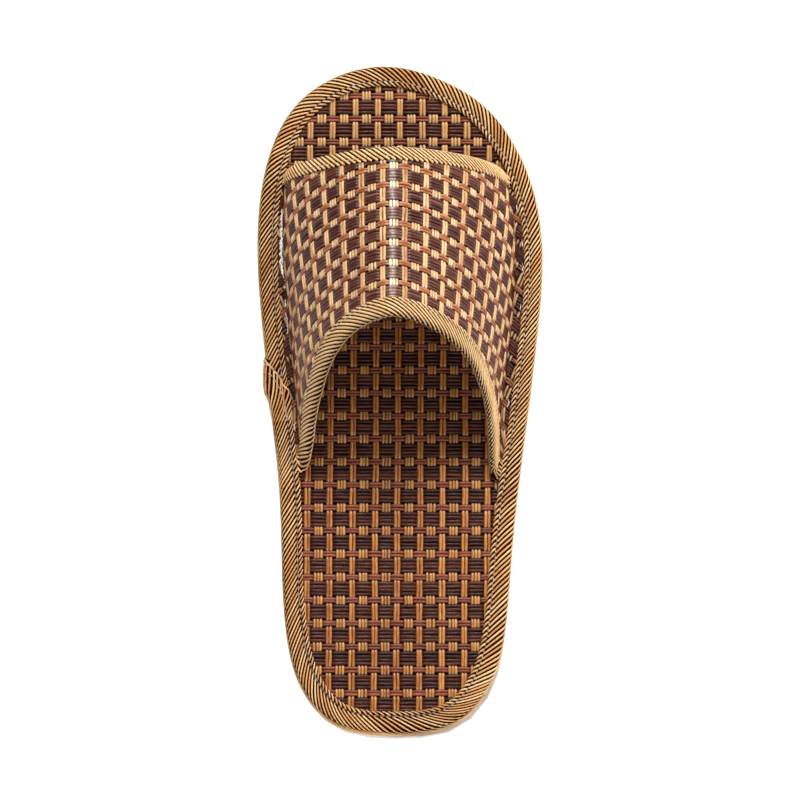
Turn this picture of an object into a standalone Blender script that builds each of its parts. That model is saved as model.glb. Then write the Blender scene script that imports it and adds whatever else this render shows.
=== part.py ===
"""Woven indoor slipper for the right foot: an open-toe, open-heel slide.

A foam outsole carries a flat woven insole.  One woven vamp arches over the forefoot and turns
outwards into a flange on each side.  A bias tape wraps the insole's rim and holds the flanges down,
and two narrower tapes bind the vamp's toe edge and throat edge.

Frame: +X towards the little toe (lateral), +Y towards the toe, +Z up.  The origin is on the floor
under the middle of the slipper.  Sizes are in millimetres and become metres where a mesh is made.
"""

import math

import bmesh
import bpy
import numpy as np

MM = 0.001

# ---------------------------------------------------------------- driving sizes
SLIPPER_LENGTH = 275.0
BALL_WIDTH = 115.0
FIT_GAP = 0.3

OUTSOLE_HEEL = 10.0
OUTSOLE_BALL = 8.5
WEDGE_FROM = -60.0
WEDGE_TO = 60.0
TOE_SPRING = 3.0
SPRING_FROM = 85.0
ARCH_LIFT = 0.9
ARCH_MIDDLE = -18.0
ARCH_HALF_LENGTH = 42.0
OUTSOLE_OVERHANG = 1.7

INSOLE_THICKNESS = 6.4
TAPE_THICKNESS = 0.9
TAPE_TOP_WIDTH = 7.4
TAPE_TUCK = 4.4
REBATE_DEPTH = TAPE_THICKNESS + 2 * FIT_GAP

WALL = 1.5
FLANGE_UNDER_TAPE = 3.6
STRIP_RISE = 0.35
STRIP_DIP = 0.15
WARP_PITCH = 9.1
WARP_NARROW = 2.7
WEFT_PITCH = 9.5
WEFT_BROAD = 5.5
WARP_CENTRE = 0.5
WEFT_START = 5.15

RIDGE_X = -3.0
CREST_ANGLE = 17.0
CREST_SHARE = 0.045
VAMP_FROM = -22.0
VAMP_TO = 113.0
WING_FROM = 78.0
THROAT_HALF_WIDTH = 34.0
FLANGE_KEY = 1000.0
GIRTH_LIMIT = 95.0

BINDING_THICKNESS = 0.8
TOE_BINDING_WIDTH = 6.4
THROAT_BINDING_WIDTH = 9.0
BINDING_INNER_WIDTH = 6.0
BINDING_EASE = 0.45
BINDING_FOOT_GAP = 1.6

FLANGE_FRONT = 94.5
FLANGE_BACK = -33.0
LIFT_MARGIN = 4.0
LIFT_RAMP = 7.0

LAP_FROM = -5.0
LAP_TO = 18.0

RIM_STATIONS = 64

# ---------------------------------------------------------------- shape tables
# Plan outline of the bound rim, anticlockwise from the back of the heel.
OUTLINE_COLUMNS = ("across", "along")
OUTLINE = [
    (-1.5, -137.5),
    (24.0, -132.0),
    (37.0, -115.5),
    (42.2, -95.0),
    (44.4, -70.0),
    (47.2, -40.0),
    (51.3, -8.0),
    (55.2, 25.0),
    (57.5, 58.0),
    (54.8, 83.0),
    (47.0, 104.0),
    (34.5, 121.0),
    (18.0, 131.5),
    (-7.2, 137.5),
    (-29.0, 131.8),
    (-43.5, 120.0),
    (-52.5, 102.0),
    (-56.8, 80.0),
    (-57.5, 62.0),
    (-55.0, 25.0),
    (-51.6, -8.0),
    (-48.4, -40.0),
    (-47.4, -70.0),
    (-45.8, -95.0),
    (-41.0, -115.5),
    (-28.0, -132.3),
]

# Cross-sections of the vamp.  Each lies in a plane that leans back by `lean` degrees, meets the
# insole at `foot_y` and rises by `rise` within its plane.  The wall stands at foot_medial and
# foot_lateral degrees where it meets the insole, at inset_medial and inset_lateral from the rim.
# Sections past the throat are cut away on top.
SECTION_COLUMNS = (
    "station", "foot_y", "rise", "lean", "foot_medial", "foot_lateral", "inset_medial", "inset_lateral"
)
SECTIONS = [
    (-20.0, 98.8, 30.2, 28.0, 86.0, 79.0, 8.8, 9.2),
    (0.0, 76.2, 40.8, 28.0, 86.0, 79.0, 10.2, 10.6),
    (30.0, 44.9, 53.5, 25.6, 86.0, 79.0, 10.8, 11.0),
    (60.0, 14.9, 63.7, 23.1, 86.0, 79.0, 10.8, 11.0),
    (84.0, -8.7, 70.4, 21.5, 82.0, 78.0, 10.8, 11.0),
    (96.0, -20.3, 66.0, 21.0, 58.0, 73.0, 10.8, 11.0),
    (108.0, -31.8, 50.0, 20.5, 40.0, 68.0, 10.8, 11.0),
    (120.0, -43.0, 32.0, 20.0, 34.0, 62.0, 10.8, 11.0),
]

# The vamp's cut edges seen from the side: how far along each height lies on either side.
EDGE_COLUMNS = ("height", "along_medial", "along_lateral")
TOE_EDGE = [
    (8.0, 94.6, 93.4),
    (20.0, 94.6, 94.0),
    (32.0, 94.0, 94.6),
    (45.0, 94.2, 95.0),
    (70.0, 94.8, 95.2),
]
THROAT_EDGE = [
    (8.0, -39.0, -41.0),
    (18.0, -30.8, -32.7),
    (22.0, -27.3, -28.3),
    (28.0, -21.6, -20.5),
    (34.0, -14.7, -12.1),
    (40.0, -9.1, -5.1),
    (46.0, -4.3, 0.0),
    (52.0, 0.8, 6.3),
    (60.0, 7.1, 11.3),
    (68.0, 12.8, 15.3),
    (74.0, 16.2, 17.4),
    (80.0, 18.7, 19.4),
    (100.0, 24.0, 24.0),
]

# Grip grooves across the sole: first groove, spacing and number, for the heel and the forefoot.
GROOVE_COLUMNS = ("first_y", "spacing", "number")
GROOVES = {"heel": (-118.0, 13.0, 4), "forefoot": (22.0, 13.0, 5)}
GROOVE_WIDTH = 2.6
GROOVE_DEPTH = 1.2
GROOVE_MARGIN = 9.0


# ---------------------------------------------------------------- scene and materials
def clear_scene():
    """Remove every object from the scene."""
    for obj in list(bpy.data.objects):
        bpy.data.objects.remove(obj, do_unlink=True)


def make_material(name, colour, roughness, metallic=0.0):
    """A Principled material with the piece's base colour."""
    material = bpy.data.materials.new(name)
    material.use_nodes = True
    shader = material.node_tree.nodes["Principled BSDF"]
    shader.inputs["Base Color"].default_value = (*colour, 1.0)
    shader.inputs["Roughness"].default_value = roughness
    shader.inputs["Metallic"].default_value = metallic
    material.diffuse_color = (*colour, 1.0)
    return material


def make_object(name, points, faces, materials, face_materials=None, smooth_angle=40.0):
    """An object from points in millimetres and faces, shaded smooth up to an angle."""
    mesh = bpy.data.meshes.new(name)
    mesh.from_pydata([tuple(float(c) * MM for c in point) for point in points], [], faces)
    for material in materials:
        mesh.materials.append(material)
    if face_materials is not None:
        mesh.polygons.foreach_set("material_index", face_materials)
    shape = bmesh.new()
    shape.from_mesh(mesh)
    bmesh.ops.recalc_face_normals(shape, faces=shape.faces[:])
    shape.to_mesh(mesh)
    shape.free()
    mesh.shade_smooth()
    mesh.set_sharp_from_angle(angle=math.radians(smooth_angle))
    obj = bpy.data.objects.new(name, mesh)
    bpy.context.scene.collection.objects.link(obj)
    return obj


def cut_away(obj, cutter):
    """Cut one object by another, which is then hidden."""
    cutter.hide_render = True
    cutter.display_type = "WIRE"
    modifier = obj.modifiers.new("cut_by_" + cutter.name, "BOOLEAN")
    modifier.operation = "DIFFERENCE"
    modifier.solver = "EXACT"
    modifier.object = cutter


# ---------------------------------------------------------------- interpolation
def smooth_column(rows, column, position):
    """Value of a table's column at a position along its first column, without overshoot."""
    x = [row[0] for row in rows]
    y = [row[column] for row in rows]
    slopes = [(y[i + 1] - y[i]) / (x[i + 1] - x[i]) for i in range(len(x) - 1)]
    tangents = [slopes[0]]
    for before, after in zip(slopes, slopes[1:]):
        tangents.append((before + after) / 2 if before * after > 0 else 0.0)
    tangents.append(slopes[-1])
    i = min(max(int(np.searchsorted(x, position)) - 1, 0), len(x) - 2)
    span = x[i + 1] - x[i]
    t = (position - x[i]) / span
    return (
        (2 * t**3 - 3 * t**2 + 1) * y[i]
        + (t**3 - 2 * t**2 + t) * tangents[i] * span
        + (3 * t**2 - 2 * t**3) * y[i + 1]
        + (t**3 - t**2) * tangents[i + 1] * span
    )


def closed_spline(points, count):
    """Evenly spaced points on a smooth closed curve through the given points."""
    knots = np.array(points, float)
    size = len(knots)
    span = np.linalg.norm(np.roll(knots, -1, 0) - knots, axis=1)
    matrix = np.zeros((size, size))
    target = np.zeros((size, 2))
    for i in range(size):
        before, after = span[i - 1], span[i]
        following = (i + 1) % size
        matrix[i, i - 1] += after
        matrix[i, i] += 2 * (before + after)
        matrix[i, following] += before
        rise = after * (knots[i] - knots[i - 1]) / before
        run = before * (knots[following] - knots[i]) / after
        target[i] = 3 * (rise + run)
    tangent = np.linalg.solve(matrix, target)
    t = np.linspace(0, 1, 40, endpoint=False)[:, None]
    pieces = []
    for i in range(size):
        following = (i + 1) % size
        pieces.append(
            (2 * t**3 - 3 * t**2 + 1) * knots[i]
            + (t**3 - 2 * t**2 + t) * tangent[i] * span[i]
            + (3 * t**2 - 2 * t**3) * knots[following]
            + (t**3 - t**2) * tangent[following] * span[i]
        )
    curve = np.concatenate([*pieces, pieces[0][:1]])
    length = np.concatenate([[0.0], np.cumsum(np.linalg.norm(np.diff(curve, axis=0), axis=1))])
    even = np.linspace(0, length[-1], count, endpoint=False)
    return np.stack([np.interp(even, length, curve[:, k]) for k in (0, 1)], 1)


# ---------------------------------------------------------------- sole heights and outline
def rim_curve(count):
    """The rim's plan outline at its true length and width, centred on the origin."""
    curve = closed_spline(OUTLINE, count)
    low, high = curve.min(0), curve.max(0)
    return (curve - (low + high) / 2) * np.array([BALL_WIDTH, SLIPPER_LENGTH]) / (high - low)


def inset_curve(curve, distance):
    """The outline moved inwards by a distance, which may differ from point to point."""
    along = np.roll(curve, -1, 0) - np.roll(curve, 1, 0)
    along /= np.linalg.norm(along, axis=1)[:, None]
    inwards = np.stack([-along[:, 1], along[:, 0]], 1)
    return curve + inwards * np.broadcast_to(distance, len(curve))[:, None]


def side_edge(curve, lateral):
    """One side of an outline as (along, across) columns in rising order of along."""
    heel, toe = int(curve[:, 1].argmin()), int(curve[:, 1].argmax())
    turned = np.roll(curve, -heel, axis=0)
    toe = (toe - heel) % len(curve)
    side = turned[: toe + 1] if lateral else np.vstack([turned[toe:], turned[:1]])[::-1]
    return side[:, 1], side[:, 0]


def toe_lift(y):
    """How far the toe springs up off the floor."""
    return TOE_SPRING * np.clip((y - SPRING_FROM) / (SLIPPER_LENGTH / 2 - SPRING_FROM), 0, None) ** 2


def arch_lift(y):
    """How far the waist clears the floor between heel and forefoot."""
    along = np.clip((y - ARCH_MIDDLE) / ARCH_HALF_LENGTH, -1, 1)
    return ARCH_LIFT * (0.5 + 0.5 * np.cos(math.pi * along))


def ground_height(y):
    """Underside of the outsole."""
    return toe_lift(y) + arch_lift(y)


def bed_height(y):
    """Top of the outsole: a slight wedge from heel to ball, and the toe spring."""
    wedge = np.interp(y, [WEDGE_FROM, WEDGE_TO], [OUTSOLE_HEEL, OUTSOLE_BALL])
    return wedge + toe_lift(y)


def insole_height(y):
    """Top of the insole, which the foot stands on."""
    return bed_height(y) + FIT_GAP + INSOLE_THICKNESS


def flange_height(y):
    """Top of the vamp's turned-out flange, which lies on the insole."""
    return insole_height(y) + FIT_GAP + WALL


# ---------------------------------------------------------------- vamp surface
FINE_RIM = rim_curve(720)
MEDIAL, LATERAL = -1, 1
UNIT_INSETS = {
    side: (
        side_edge(FINE_RIM, lateral=side == LATERAL),
        side_edge(inset_curve(FINE_RIM, 10.0), lateral=side == LATERAL),
    )
    for side in (MEDIAL, LATERAL)
}


def rim_offset(y, side, inset):
    """Across position at an inset from the rim on one side."""
    rim, inner = (float(np.interp(y, *edge)) for edge in UNIT_INSETS[side])
    return rim + (inner - rim) * inset / 10.0


def unit_arch(foot_angle, count=120):
    """Half an arch from crest to foot in a unit box, from the angle of its wall along the way."""
    t = np.linspace(0, 1, count)
    crest = CREST_ANGLE * (1 - np.exp(-t / CREST_SHARE))
    angle = np.radians(crest + (foot_angle - CREST_ANGLE) * t)
    across = np.concatenate([[0.0], np.cumsum(np.cos(angle[1:]) + np.cos(angle[:-1]))])
    down = np.concatenate([[0.0], np.cumsum(np.sin(angle[1:]) + np.sin(angle[:-1]))])
    return across / across[-1], down / down[-1]


class Section:
    """One leaning cross-section of the vamp, read by its girth from the ridge.

    A girth is negative on the medial side.  Past the wall's foot it runs out along the flange.
    """

    def __init__(self, station):
        row = [smooth_column(SECTIONS, column, station) for column in range(1, len(SECTION_COLUMNS))]
        foot_y, rise, lean, *by_side = row
        angles = dict(zip((MEDIAL, LATERAL), by_side[:2]))
        self.insets = dict(zip((MEDIAL, LATERAL), by_side[2:]))
        lean = math.radians(lean)
        foot_z = float(flange_height(foot_y))
        self.sides = {}
        for side in (MEDIAL, LATERAL):
            foot_x = rim_offset(foot_y, side, self.insets[side])
            across, down = unit_arch(angles[side])
            x = RIDGE_X + (foot_x - RIDGE_X) * across
            up = rise * (1 - down)
            points = np.stack([x, foot_y + up * math.sin(lean), foot_z + up * math.cos(lean)], 1)
            step = np.linalg.norm(np.diff(points, axis=0), axis=1)
            self.sides[side] = (points, np.concatenate([[0.0], np.cumsum(step)]))

    def girth(self, side):
        """Length of wall from ridge to foot."""
        return self.sides[side][1][-1]

    def point(self, girth):
        """Point of the vamp's outer face at a girth."""
        side = 1 if girth >= 0 else -1
        points, lengths = self.sides[side]
        past = abs(girth) - lengths[-1]
        if past <= 0:
            return np.array([np.interp(abs(girth), lengths, points[:, k]) for k in range(3)])
        x, y, z = points[-1]
        return np.array([x + side * past, y, z])


def vamp_point(girth, station):
    """Point of the vamp's outer face."""
    return Section(station).point(girth)


def vamp_normal(girth, station, reach=0.6):
    """Outward normal of the vamp's outer face."""
    across = vamp_point(girth + reach, station) - vamp_point(girth - reach, station)
    back = vamp_point(girth, station + reach) - vamp_point(girth, station - reach)
    normal = np.cross(back, across)
    return normal / np.linalg.norm(normal)


# ---------------------------------------------------------------- weave relief
def weave_lines(low, high, centre, pitch, narrow):
    """Grid lines of a weave between two limits, each with its kind.

    Kinds are 0 broad strip's middle, 2 narrow strip's middle, and 1 or 3 the dips between them.
    """
    offsets = (0.0, (pitch - narrow) / 2, pitch / 2, (pitch + narrow) / 2)
    lines = []
    first = math.floor((low - centre) / pitch) - 1
    last = math.ceil((high - centre) / pitch) + 1
    for period in range(first, last + 1):
        for kind, offset in enumerate(offsets):
            position = centre + period * pitch + offset
            if low < position < high:
                lines.append((position, kind))
    return lines


def strip_height(warp_kind, weft_kind):
    """Relief of the weave where two grid lines cross: strips are raised, and dip between floats."""
    if warp_kind % 2 or weft_kind % 2:
        return -STRIP_DIP
    return STRIP_RISE


# ---------------------------------------------------------------- joining rows of points
def zip_rows(first, second, faces, tags=None, tag=None):
    """Fill the strip between two rows of (key, vertex) pairs with triangles, matching their keys."""
    i = j = 0
    while i < len(first) - 1 or j < len(second) - 1:
        if j == len(second) - 1:
            step_first = True
        elif i == len(first) - 1:
            step_first = False
        else:
            step_first = first[i + 1][0] <= second[j + 1][0]
        if step_first:
            faces.append((first[i][1], first[i + 1][1], second[j][1]))
            key = (first[i][0] + first[i + 1][0]) / 2
            i += 1
        else:
            faces.append((first[i][1], second[j + 1][1], second[j][1]))
            key = (second[j][0] + second[j + 1][0]) / 2
            j += 1
        if tags is not None:
            tags.append(tag(key))


def loft_rings(rings, closed_ends=True):
    """Points and faces of a stack of equal rings, with each end ring closed by strips across it."""
    size = len(rings[0])
    points = np.concatenate(rings)
    faces = []
    for k in range(len(rings) - 1):
        for i in range(size):
            following = (i + 1) % size
            faces.append(
                (k * size + i, k * size + following, (k + 1) * size + following, (k + 1) * size + i)
            )
    if closed_ends:
        for base in (0, (len(rings) - 1) * size):
            for i in range(size // 2):
                left = (size - i) % size
                quad = (base + i, base + i + 1, base + size - i - 1, base + left)
                faces.append(tuple(dict.fromkeys(quad)))
    return points, faces


def sweep_profiles(profiles, closed):
    """Points and faces of one closed profile swept along a path, closed on itself or capped."""
    size = len(profiles[0])
    count = len(profiles)
    points = np.concatenate(profiles)
    faces = []
    for k in range(count if closed else count - 1):
        base, following = k * size, (k + 1) % count * size
        for i in range(size):
            j = (i + 1) % size
            faces.append((base + i, base + j, following + j, following + i))
    if not closed:
        faces.append(tuple(range(size)))
        faces.append(tuple(range((count - 1) * size, count * size)))
    return points, faces


# ---------------------------------------------------------------- outsole
def heel_overhang(curve):
    """How far the outsole shows beyond the rim: most at the outer back corner of the heel."""
    angle = np.degrees(np.arctan2(curve[:, 1] + 95.0, curve[:, 0]))
    near = np.exp(-(((angle + 48.0) / 42.0) ** 2))
    behind = np.clip((-60.0 - curve[:, 1]) / 30.0, 0, 1)
    return OUTSOLE_OVERHANG * near * behind


def build_outsole(material):
    """Cream foam outsole with a softly rounded edge, raised waist, toe spring and grip grooves."""
    rim = rim_curve(RIM_STATIONS)
    overhang = heel_overhang(rim)
    rings = []
    for inset, share in ((2.6, 0.0), (1.2, 0.14), (0.9, 0.45), (0.4, 0.8), (0.6, 1.0)):
        ring = inset_curve(rim, inset - overhang * (0.35 + 0.65 * min(share * 1.6, 1.0)))
        low, high = ground_height(ring[:, 1]), bed_height(ring[:, 1])
        rings.append(np.column_stack([ring, low + (high - low) * share]))
    points, faces = loft_rings(rings)
    outsole = make_object("outsole", points, faces, [material])
    cut_away(outsole, build_groove_cutter())
    return outsole


def build_groove_cutter():
    """Bars that cut the grip grooves out of the sole's underside, short of its edge."""
    margin = inset_curve(FINE_RIM, GROOVE_MARGIN)
    medial, lateral = side_edge(margin, lateral=False), side_edge(margin, lateral=True)
    points = []
    faces = []
    for first_y, spacing, number in GROOVES.values():
        for k in range(number):
            y = first_y + k * spacing
            left, right = np.interp(y, *medial), np.interp(y, *lateral)
            base = len(points)
            for z in (-2.0, GROOVE_DEPTH):
                for x, dy in ((left, -1), (right, -1), (right, 1), (left, 1)):
                    points.append((x, y + dy * GROOVE_WIDTH / 2, z))
            box = [(0, 1, 2, 3), (4, 5, 6, 7), (0, 1, 5, 4), (1, 2, 6, 5), (2, 3, 7, 6), (3, 0, 4, 7)]
            faces.extend(tuple(base + i for i in face) for face in box)
    return make_object("groove_cutter", points, faces, [])


# ---------------------------------------------------------------- insole
def build_insole(material):
    """Woven insole on its foam board, with a rebate below for the tape's tucked edge."""
    rim = rim_curve(RIM_STATIONS)
    side = TAPE_THICKNESS + FIT_GAP
    tuck = TAPE_TUCK + FIT_GAP
    rings = []
    for inset, height in (
        (tuck, lambda y: bed_height(y) + FIT_GAP),
        (tuck, lambda y: bed_height(y) + REBATE_DEPTH),
        (side, lambda y: bed_height(y) + REBATE_DEPTH),
        (side, insole_height),
    ):
        ring = inset_curve(rim, inset)
        rings.append(np.column_stack([ring, height(ring[:, 1])]))
    points, faces = loft_rings(rings)
    return make_object("insole", points, faces, [material])


# ---------------------------------------------------------------- vamp wall
def vamp_row(station, warp_lines, weft_kind):
    """(key, girth, relief) of the points in one row of the vamp, from flange tip to flange tip."""
    section = Section(station)
    row = []
    for side in (MEDIAL, LATERAL):
        girth = section.girth(side)
        flange = (girth, girth + section.insets[side] - FLANGE_UNDER_TAPE)
        row.extend((side * (FLANGE_KEY + k), side * g, 0.0) for k, g in enumerate(flange))
    for girth, kind in warp_lines:
        if abs(girth) < section.girth(LATERAL if girth >= 0 else MEDIAL) - 1.2:
            height = 0.0 if weft_kind is None else strip_height(kind, weft_kind)
            row.append((girth, girth, height))
    return sorted(row)


def smooth_line(line):
    """Whether the smooth inner face keeps a warp line: more of them where the arch is tighter."""
    girth, kind = line
    if abs(girth) < WARP_PITCH:
        return True
    return kind == 2 or (kind == 0 and abs(girth) < 3 * WARP_PITCH)


def build_upper(tan, dark, red):
    """The woven vamp: one wall with its strips raised, open at toe, throat and underneath."""
    warps = weave_lines(-GIRTH_LIMIT, GIRTH_LIMIT, WARP_CENTRE, WARP_PITCH, WARP_NARROW)
    wefts = weave_lines(VAMP_FROM, VAMP_TO, WEFT_START, WEFT_PITCH, WEFT_PITCH - WEFT_BROAD)
    plain_warps = [line for line in warps if smooth_line(line)]
    points = []
    outer_rows = []
    for station, weft_kind in [(VAMP_FROM, None), *wefts, (VAMP_TO, None)]:
        outer_rows.append(add_vamp_row(points, station, vamp_row(station, warps, weft_kind), 0.0))
    inner_rows = []
    plain_wefts = (s for s, kind in wefts if kind == 0 or (kind == 2 and s > WING_FROM))
    inner_stations = [VAMP_FROM, *plain_wefts, VAMP_TO]
    for station in inner_stations:
        inner_rows.append(add_vamp_row(points, station, vamp_row(station, plain_warps, None), -WALL))

    faces = []
    tags = []
    weft_kinds = [None, *(kind for _, kind in wefts), None]
    for k in range(len(outer_rows) - 1):
        pair = {weft_kinds[k], weft_kinds[k + 1]}
        broad_weft = 0 in pair
        zip_rows(
            outer_rows[k],
            outer_rows[k + 1],
            faces,
            tags,
            lambda key: strip_material(key, broad_weft),
        )
    for k in range(len(inner_rows) - 1):
        zip_rows(inner_rows[k], inner_rows[k + 1], faces)
    zip_rows(outer_rows[0], inner_rows[0], faces)
    zip_rows(outer_rows[-1], inner_rows[-1], faces)
    outer_stations = [VAMP_FROM, *(station for station, _ in wefts), VAMP_TO]
    for end in (0, -1):
        outer_side = [(s, row[end][1]) for s, row in zip(outer_stations, outer_rows)]
        inner_side = [(s, row[end][1]) for s, row in zip(inner_stations, inner_rows)]
        zip_rows(outer_side, inner_side, faces)
    tags.extend([0] * (len(faces) - len(tags)))
    upper = make_object("upper", points, faces, [tan, dark, red], tags, smooth_angle=50.0)
    cut_away(upper, build_edge_cutter("toe_cutter", TOE_EDGE, 140.0))
    cut_away(upper, build_edge_cutter("throat_cutter", THROAT_EDGE, -80.0))
    return upper


def add_vamp_row(points, station, row, depth):
    """Append one row's points, moved along the vamp's normal, and return (key, vertex) pairs."""
    section = Section(station)
    numbered = []
    for key, girth, height in row:
        side = 1 if girth >= 0 else -1
        past = abs(girth) - section.girth(side)
        if past > 0.1:
            offset = np.array([0.0, 0.0, depth])
        elif past > -0.1:
            wall = vamp_normal(girth - side * 1.5, station)
            bend = wall + np.array([0.0, 0.0, 1.0])
            bend /= np.linalg.norm(bend)
            offset = bend * depth / max(float(bend @ wall), 0.6)
        else:
            offset = vamp_normal(girth, station) * (height + depth)
        numbered.append((key, len(points)))
        points.append(section.point(girth) + offset)
    return numbered


def strip_material(girth, broad_weft):
    """Material slot of the strip on top at a girth: 0 tan warp, 1 dark weft, 2 red weft."""
    if abs(girth) >= FLANGE_KEY:
        return 0
    phase = (girth - WARP_CENTRE) % WARP_PITCH
    on_narrow_warp = abs(phase - WARP_PITCH / 2) < WARP_NARROW / 2
    if broad_weft:
        return 0 if on_narrow_warp else 1
    return 2 if on_narrow_warp else 0


def edge_along(table, side_share, height):
    """How far along an edge lies at a height; side_share runs from -1 medial to 1 lateral."""
    heights, medial, lateral = zip(*table)
    low, high = (np.interp(height, heights, column) for column in (medial, lateral))
    return float(low + (high - low) * (1 + side_share) / 2)


def build_edge_cutter(name, table, reach):
    """A block that removes the wall from one of its edges out to `reach` along the slipper."""
    spread = (-2.5, -1.0, 1.0, 2.5)
    outline_size = len(table) + 2
    points = []
    for share in spread:
        side_share = max(-1.0, min(1.0, share))
        outline = [(edge_along(table, side_share, height), height) for height, _, _ in table]
        outline += [(reach, table[-1][0]), (reach, table[0][0])]
        points.extend((RIDGE_X + share * THROAT_HALF_WIDTH, y, z) for y, z in outline)
    last = (len(spread) - 1) * outline_size
    faces = [tuple(range(outline_size)), tuple(range(last, last + outline_size))]
    for k in range(len(spread) - 1):
        for i in range(outline_size):
            j = (i + 1) % outline_size
            base, following = k * outline_size, (k + 1) * outline_size
            faces.append((base + i, base + j, following + j, following + i))
    return make_object(name, points, faces, [])


# ---------------------------------------------------------------- bindings on the vamp's edges
def kept_depth(table, sense, point):
    """How deep a point lies inside the kept wall, along the slipper, from one of its edges."""
    share = max(-1.0, min(1.0, (point[0] - RIDGE_X) / THROAT_HALF_WIDTH))
    return sense * (point[1] - edge_along(table, share, point[2]))


def edge_station(depth_at, share, low, high):
    """Station at which a line at a constant share of the girth crosses an edge, by halving."""
    side = LATERAL if share >= 0 else MEDIAL

    def depth(station):
        section = Section(station)
        foot_gap = BINDING_FOOT_GAP if abs(share) == 1 else 0.0
        return depth_at(section.point(share * (section.girth(side) - foot_gap)))

    rising = depth(high) > depth(low)
    for _ in range(24):
        middle = (low + high) / 2
        if (depth(middle) > 0) == rising:
            high = middle
        else:
            low = middle
    return (low + high) / 2


def edge_path(depth_at, low, high, count):
    """(girth, station) pairs along an edge from its medial foot to its lateral foot."""
    path = []
    for t in np.linspace(-1, 1, count):
        share = float(np.sign(t) * abs(t) ** 1.35)
        station = edge_station(depth_at, share, low, high)
        girth = Section(station).girth(LATERAL if share >= 0 else MEDIAL)
        foot_gap = BINDING_FOOT_GAP if abs(share) == 1 else 0.0
        path.append((share * (girth - foot_gap), station))
    return path


def surface_step(girth, station, direction):
    """Change of (girth, station) that moves along a direction lying in the vamp's face."""
    reach = 0.5
    across = vamp_point(girth + reach, station) - vamp_point(girth - reach, station)
    back = vamp_point(girth, station + reach) - vamp_point(girth, station - reach)
    basis = np.stack([across, back], 1) / (2 * reach)
    return np.linalg.lstsq(basis, direction, rcond=None)[0]


def binding_profiles(depth_at, path, width):
    """Cross-sections of a tape folded over an edge of the vamp, clear of the wall all round."""
    ends = np.array([vamp_point(*pair) for pair in path])
    over = STRIP_RISE + BINDING_EASE
    over_top = over + BINDING_THICKNESS
    under = -WALL - BINDING_EASE
    under_bottom = under - BINDING_THICKNESS
    profiles = []
    for k, (girth, station) in enumerate(path):
        tangent = ends[min(k + 1, len(path) - 1)] - ends[max(k - 1, 0)]
        normal = vamp_normal(girth, station)
        into = np.cross(normal, tangent / np.linalg.norm(tangent))
        into /= np.linalg.norm(into)
        if depth_at(ends[k] + into) < depth_at(ends[k] - into):
            into = -into
        step = surface_step(girth, station, into)
        rate = depth_at(ends[k] + into) - depth_at(ends[k])

        def lip(height):
            """Where the wall's cut face lies at a height above its outer surface."""
            return -depth_at(ends[k] + normal * height) / rate

        room = foot_room(girth, station, step)
        outer = min(width - FIT_GAP - BINDING_THICKNESS, room)
        inner = min(BINDING_INNER_WIDTH, room)
        turn = min(lip(over), lip(under)) - BINDING_EASE
        fold = turn - BINDING_THICKNESS
        profile = []
        for reach, height in (
            (outer, over),
            (outer - 0.4, over_top),
            (outer / 2, over_top),
            (fold + 0.7, over_top),
            (fold, over_top - 0.8),
            (fold, under_bottom + 0.8),
            (fold + 0.7, under_bottom),
            (inner, under_bottom),
            (inner, under),
            (turn, under),
            (turn, over),
            (outer / 2, over),
        ):
            if reach > 0:
                at_girth, at_station = girth + step[0] * reach, station + step[1] * reach
                base = vamp_point(at_girth, at_station)
                profile.append(base + vamp_normal(at_girth, at_station) * height)
            else:
                profile.append(ends[k] + into * reach + normal * height)
        profiles.append(np.array(profile))
    return profiles


def foot_room(girth, station, step):
    """How far a tape may reach into the wall before it meets the flange."""
    for reach in np.arange(1.0, 12.0, 0.5):
        at_girth, at_station = girth + step[0] * reach, station + step[1] * reach
        side = LATERAL if at_girth >= 0 else MEDIAL
        if Section(at_station).girth(side) - abs(at_girth) < BINDING_FOOT_GAP:
            return max(reach - 0.5, 0.9)
    return 12.0


def build_toe_binding(material):
    """Narrow bias tape folded over the edge of the toe opening."""

    def depth_at(point):
        return kept_depth(TOE_EDGE, -1, point)

    path = edge_path(depth_at, VAMP_FROM, 10.0, 23)
    profiles = binding_profiles(depth_at, path, TOE_BINDING_WIDTH)
    points, faces = sweep_profiles(profiles, closed=False)
    return make_object("toe_binding", points, faces, [material])


def build_throat_binding(material):
    """Broader bias tape folded over the throat's edge, down to the insole on both sides."""

    def depth_at(point):
        return kept_depth(THROAT_EDGE, 1, point)

    path = edge_path(depth_at, 76.0, VAMP_TO, 39)
    profiles = binding_profiles(depth_at, path, THROAT_BINDING_WIDTH)
    points, faces = sweep_profiles(profiles, closed=False)
    return make_object("throat_binding", points, faces, [material])


# ---------------------------------------------------------------- tape round the sole
def flange_lift(y):
    """How far the flange under the tape raises it: fully beside the vamp, fading past its ends."""
    front = np.clip((FLANGE_FRONT + LIFT_MARGIN + LIFT_RAMP - y) / LIFT_RAMP, 0, 1)
    back = np.clip((y - FLANGE_BACK + LIFT_MARGIN + LIFT_RAMP) / LIFT_RAMP, 0, 1)
    share = np.minimum(front, back)
    return (WALL + FIT_GAP) * share * share * (3 - 2 * share)


def tape_profiles(rim, profile):
    """Cross-sections of a tape round the rim from (inset, height, share of lift, above) rows."""
    columns = []
    for inset, height, lifted, above in profile:
        ring = inset_curve(rim, inset)
        y = ring[:, 1]
        columns.append(np.column_stack([ring, height(y) + flange_lift(y) * lifted + above]))
    return [np.array([column[k] for column in columns]) for k in range(len(rim))]


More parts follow.
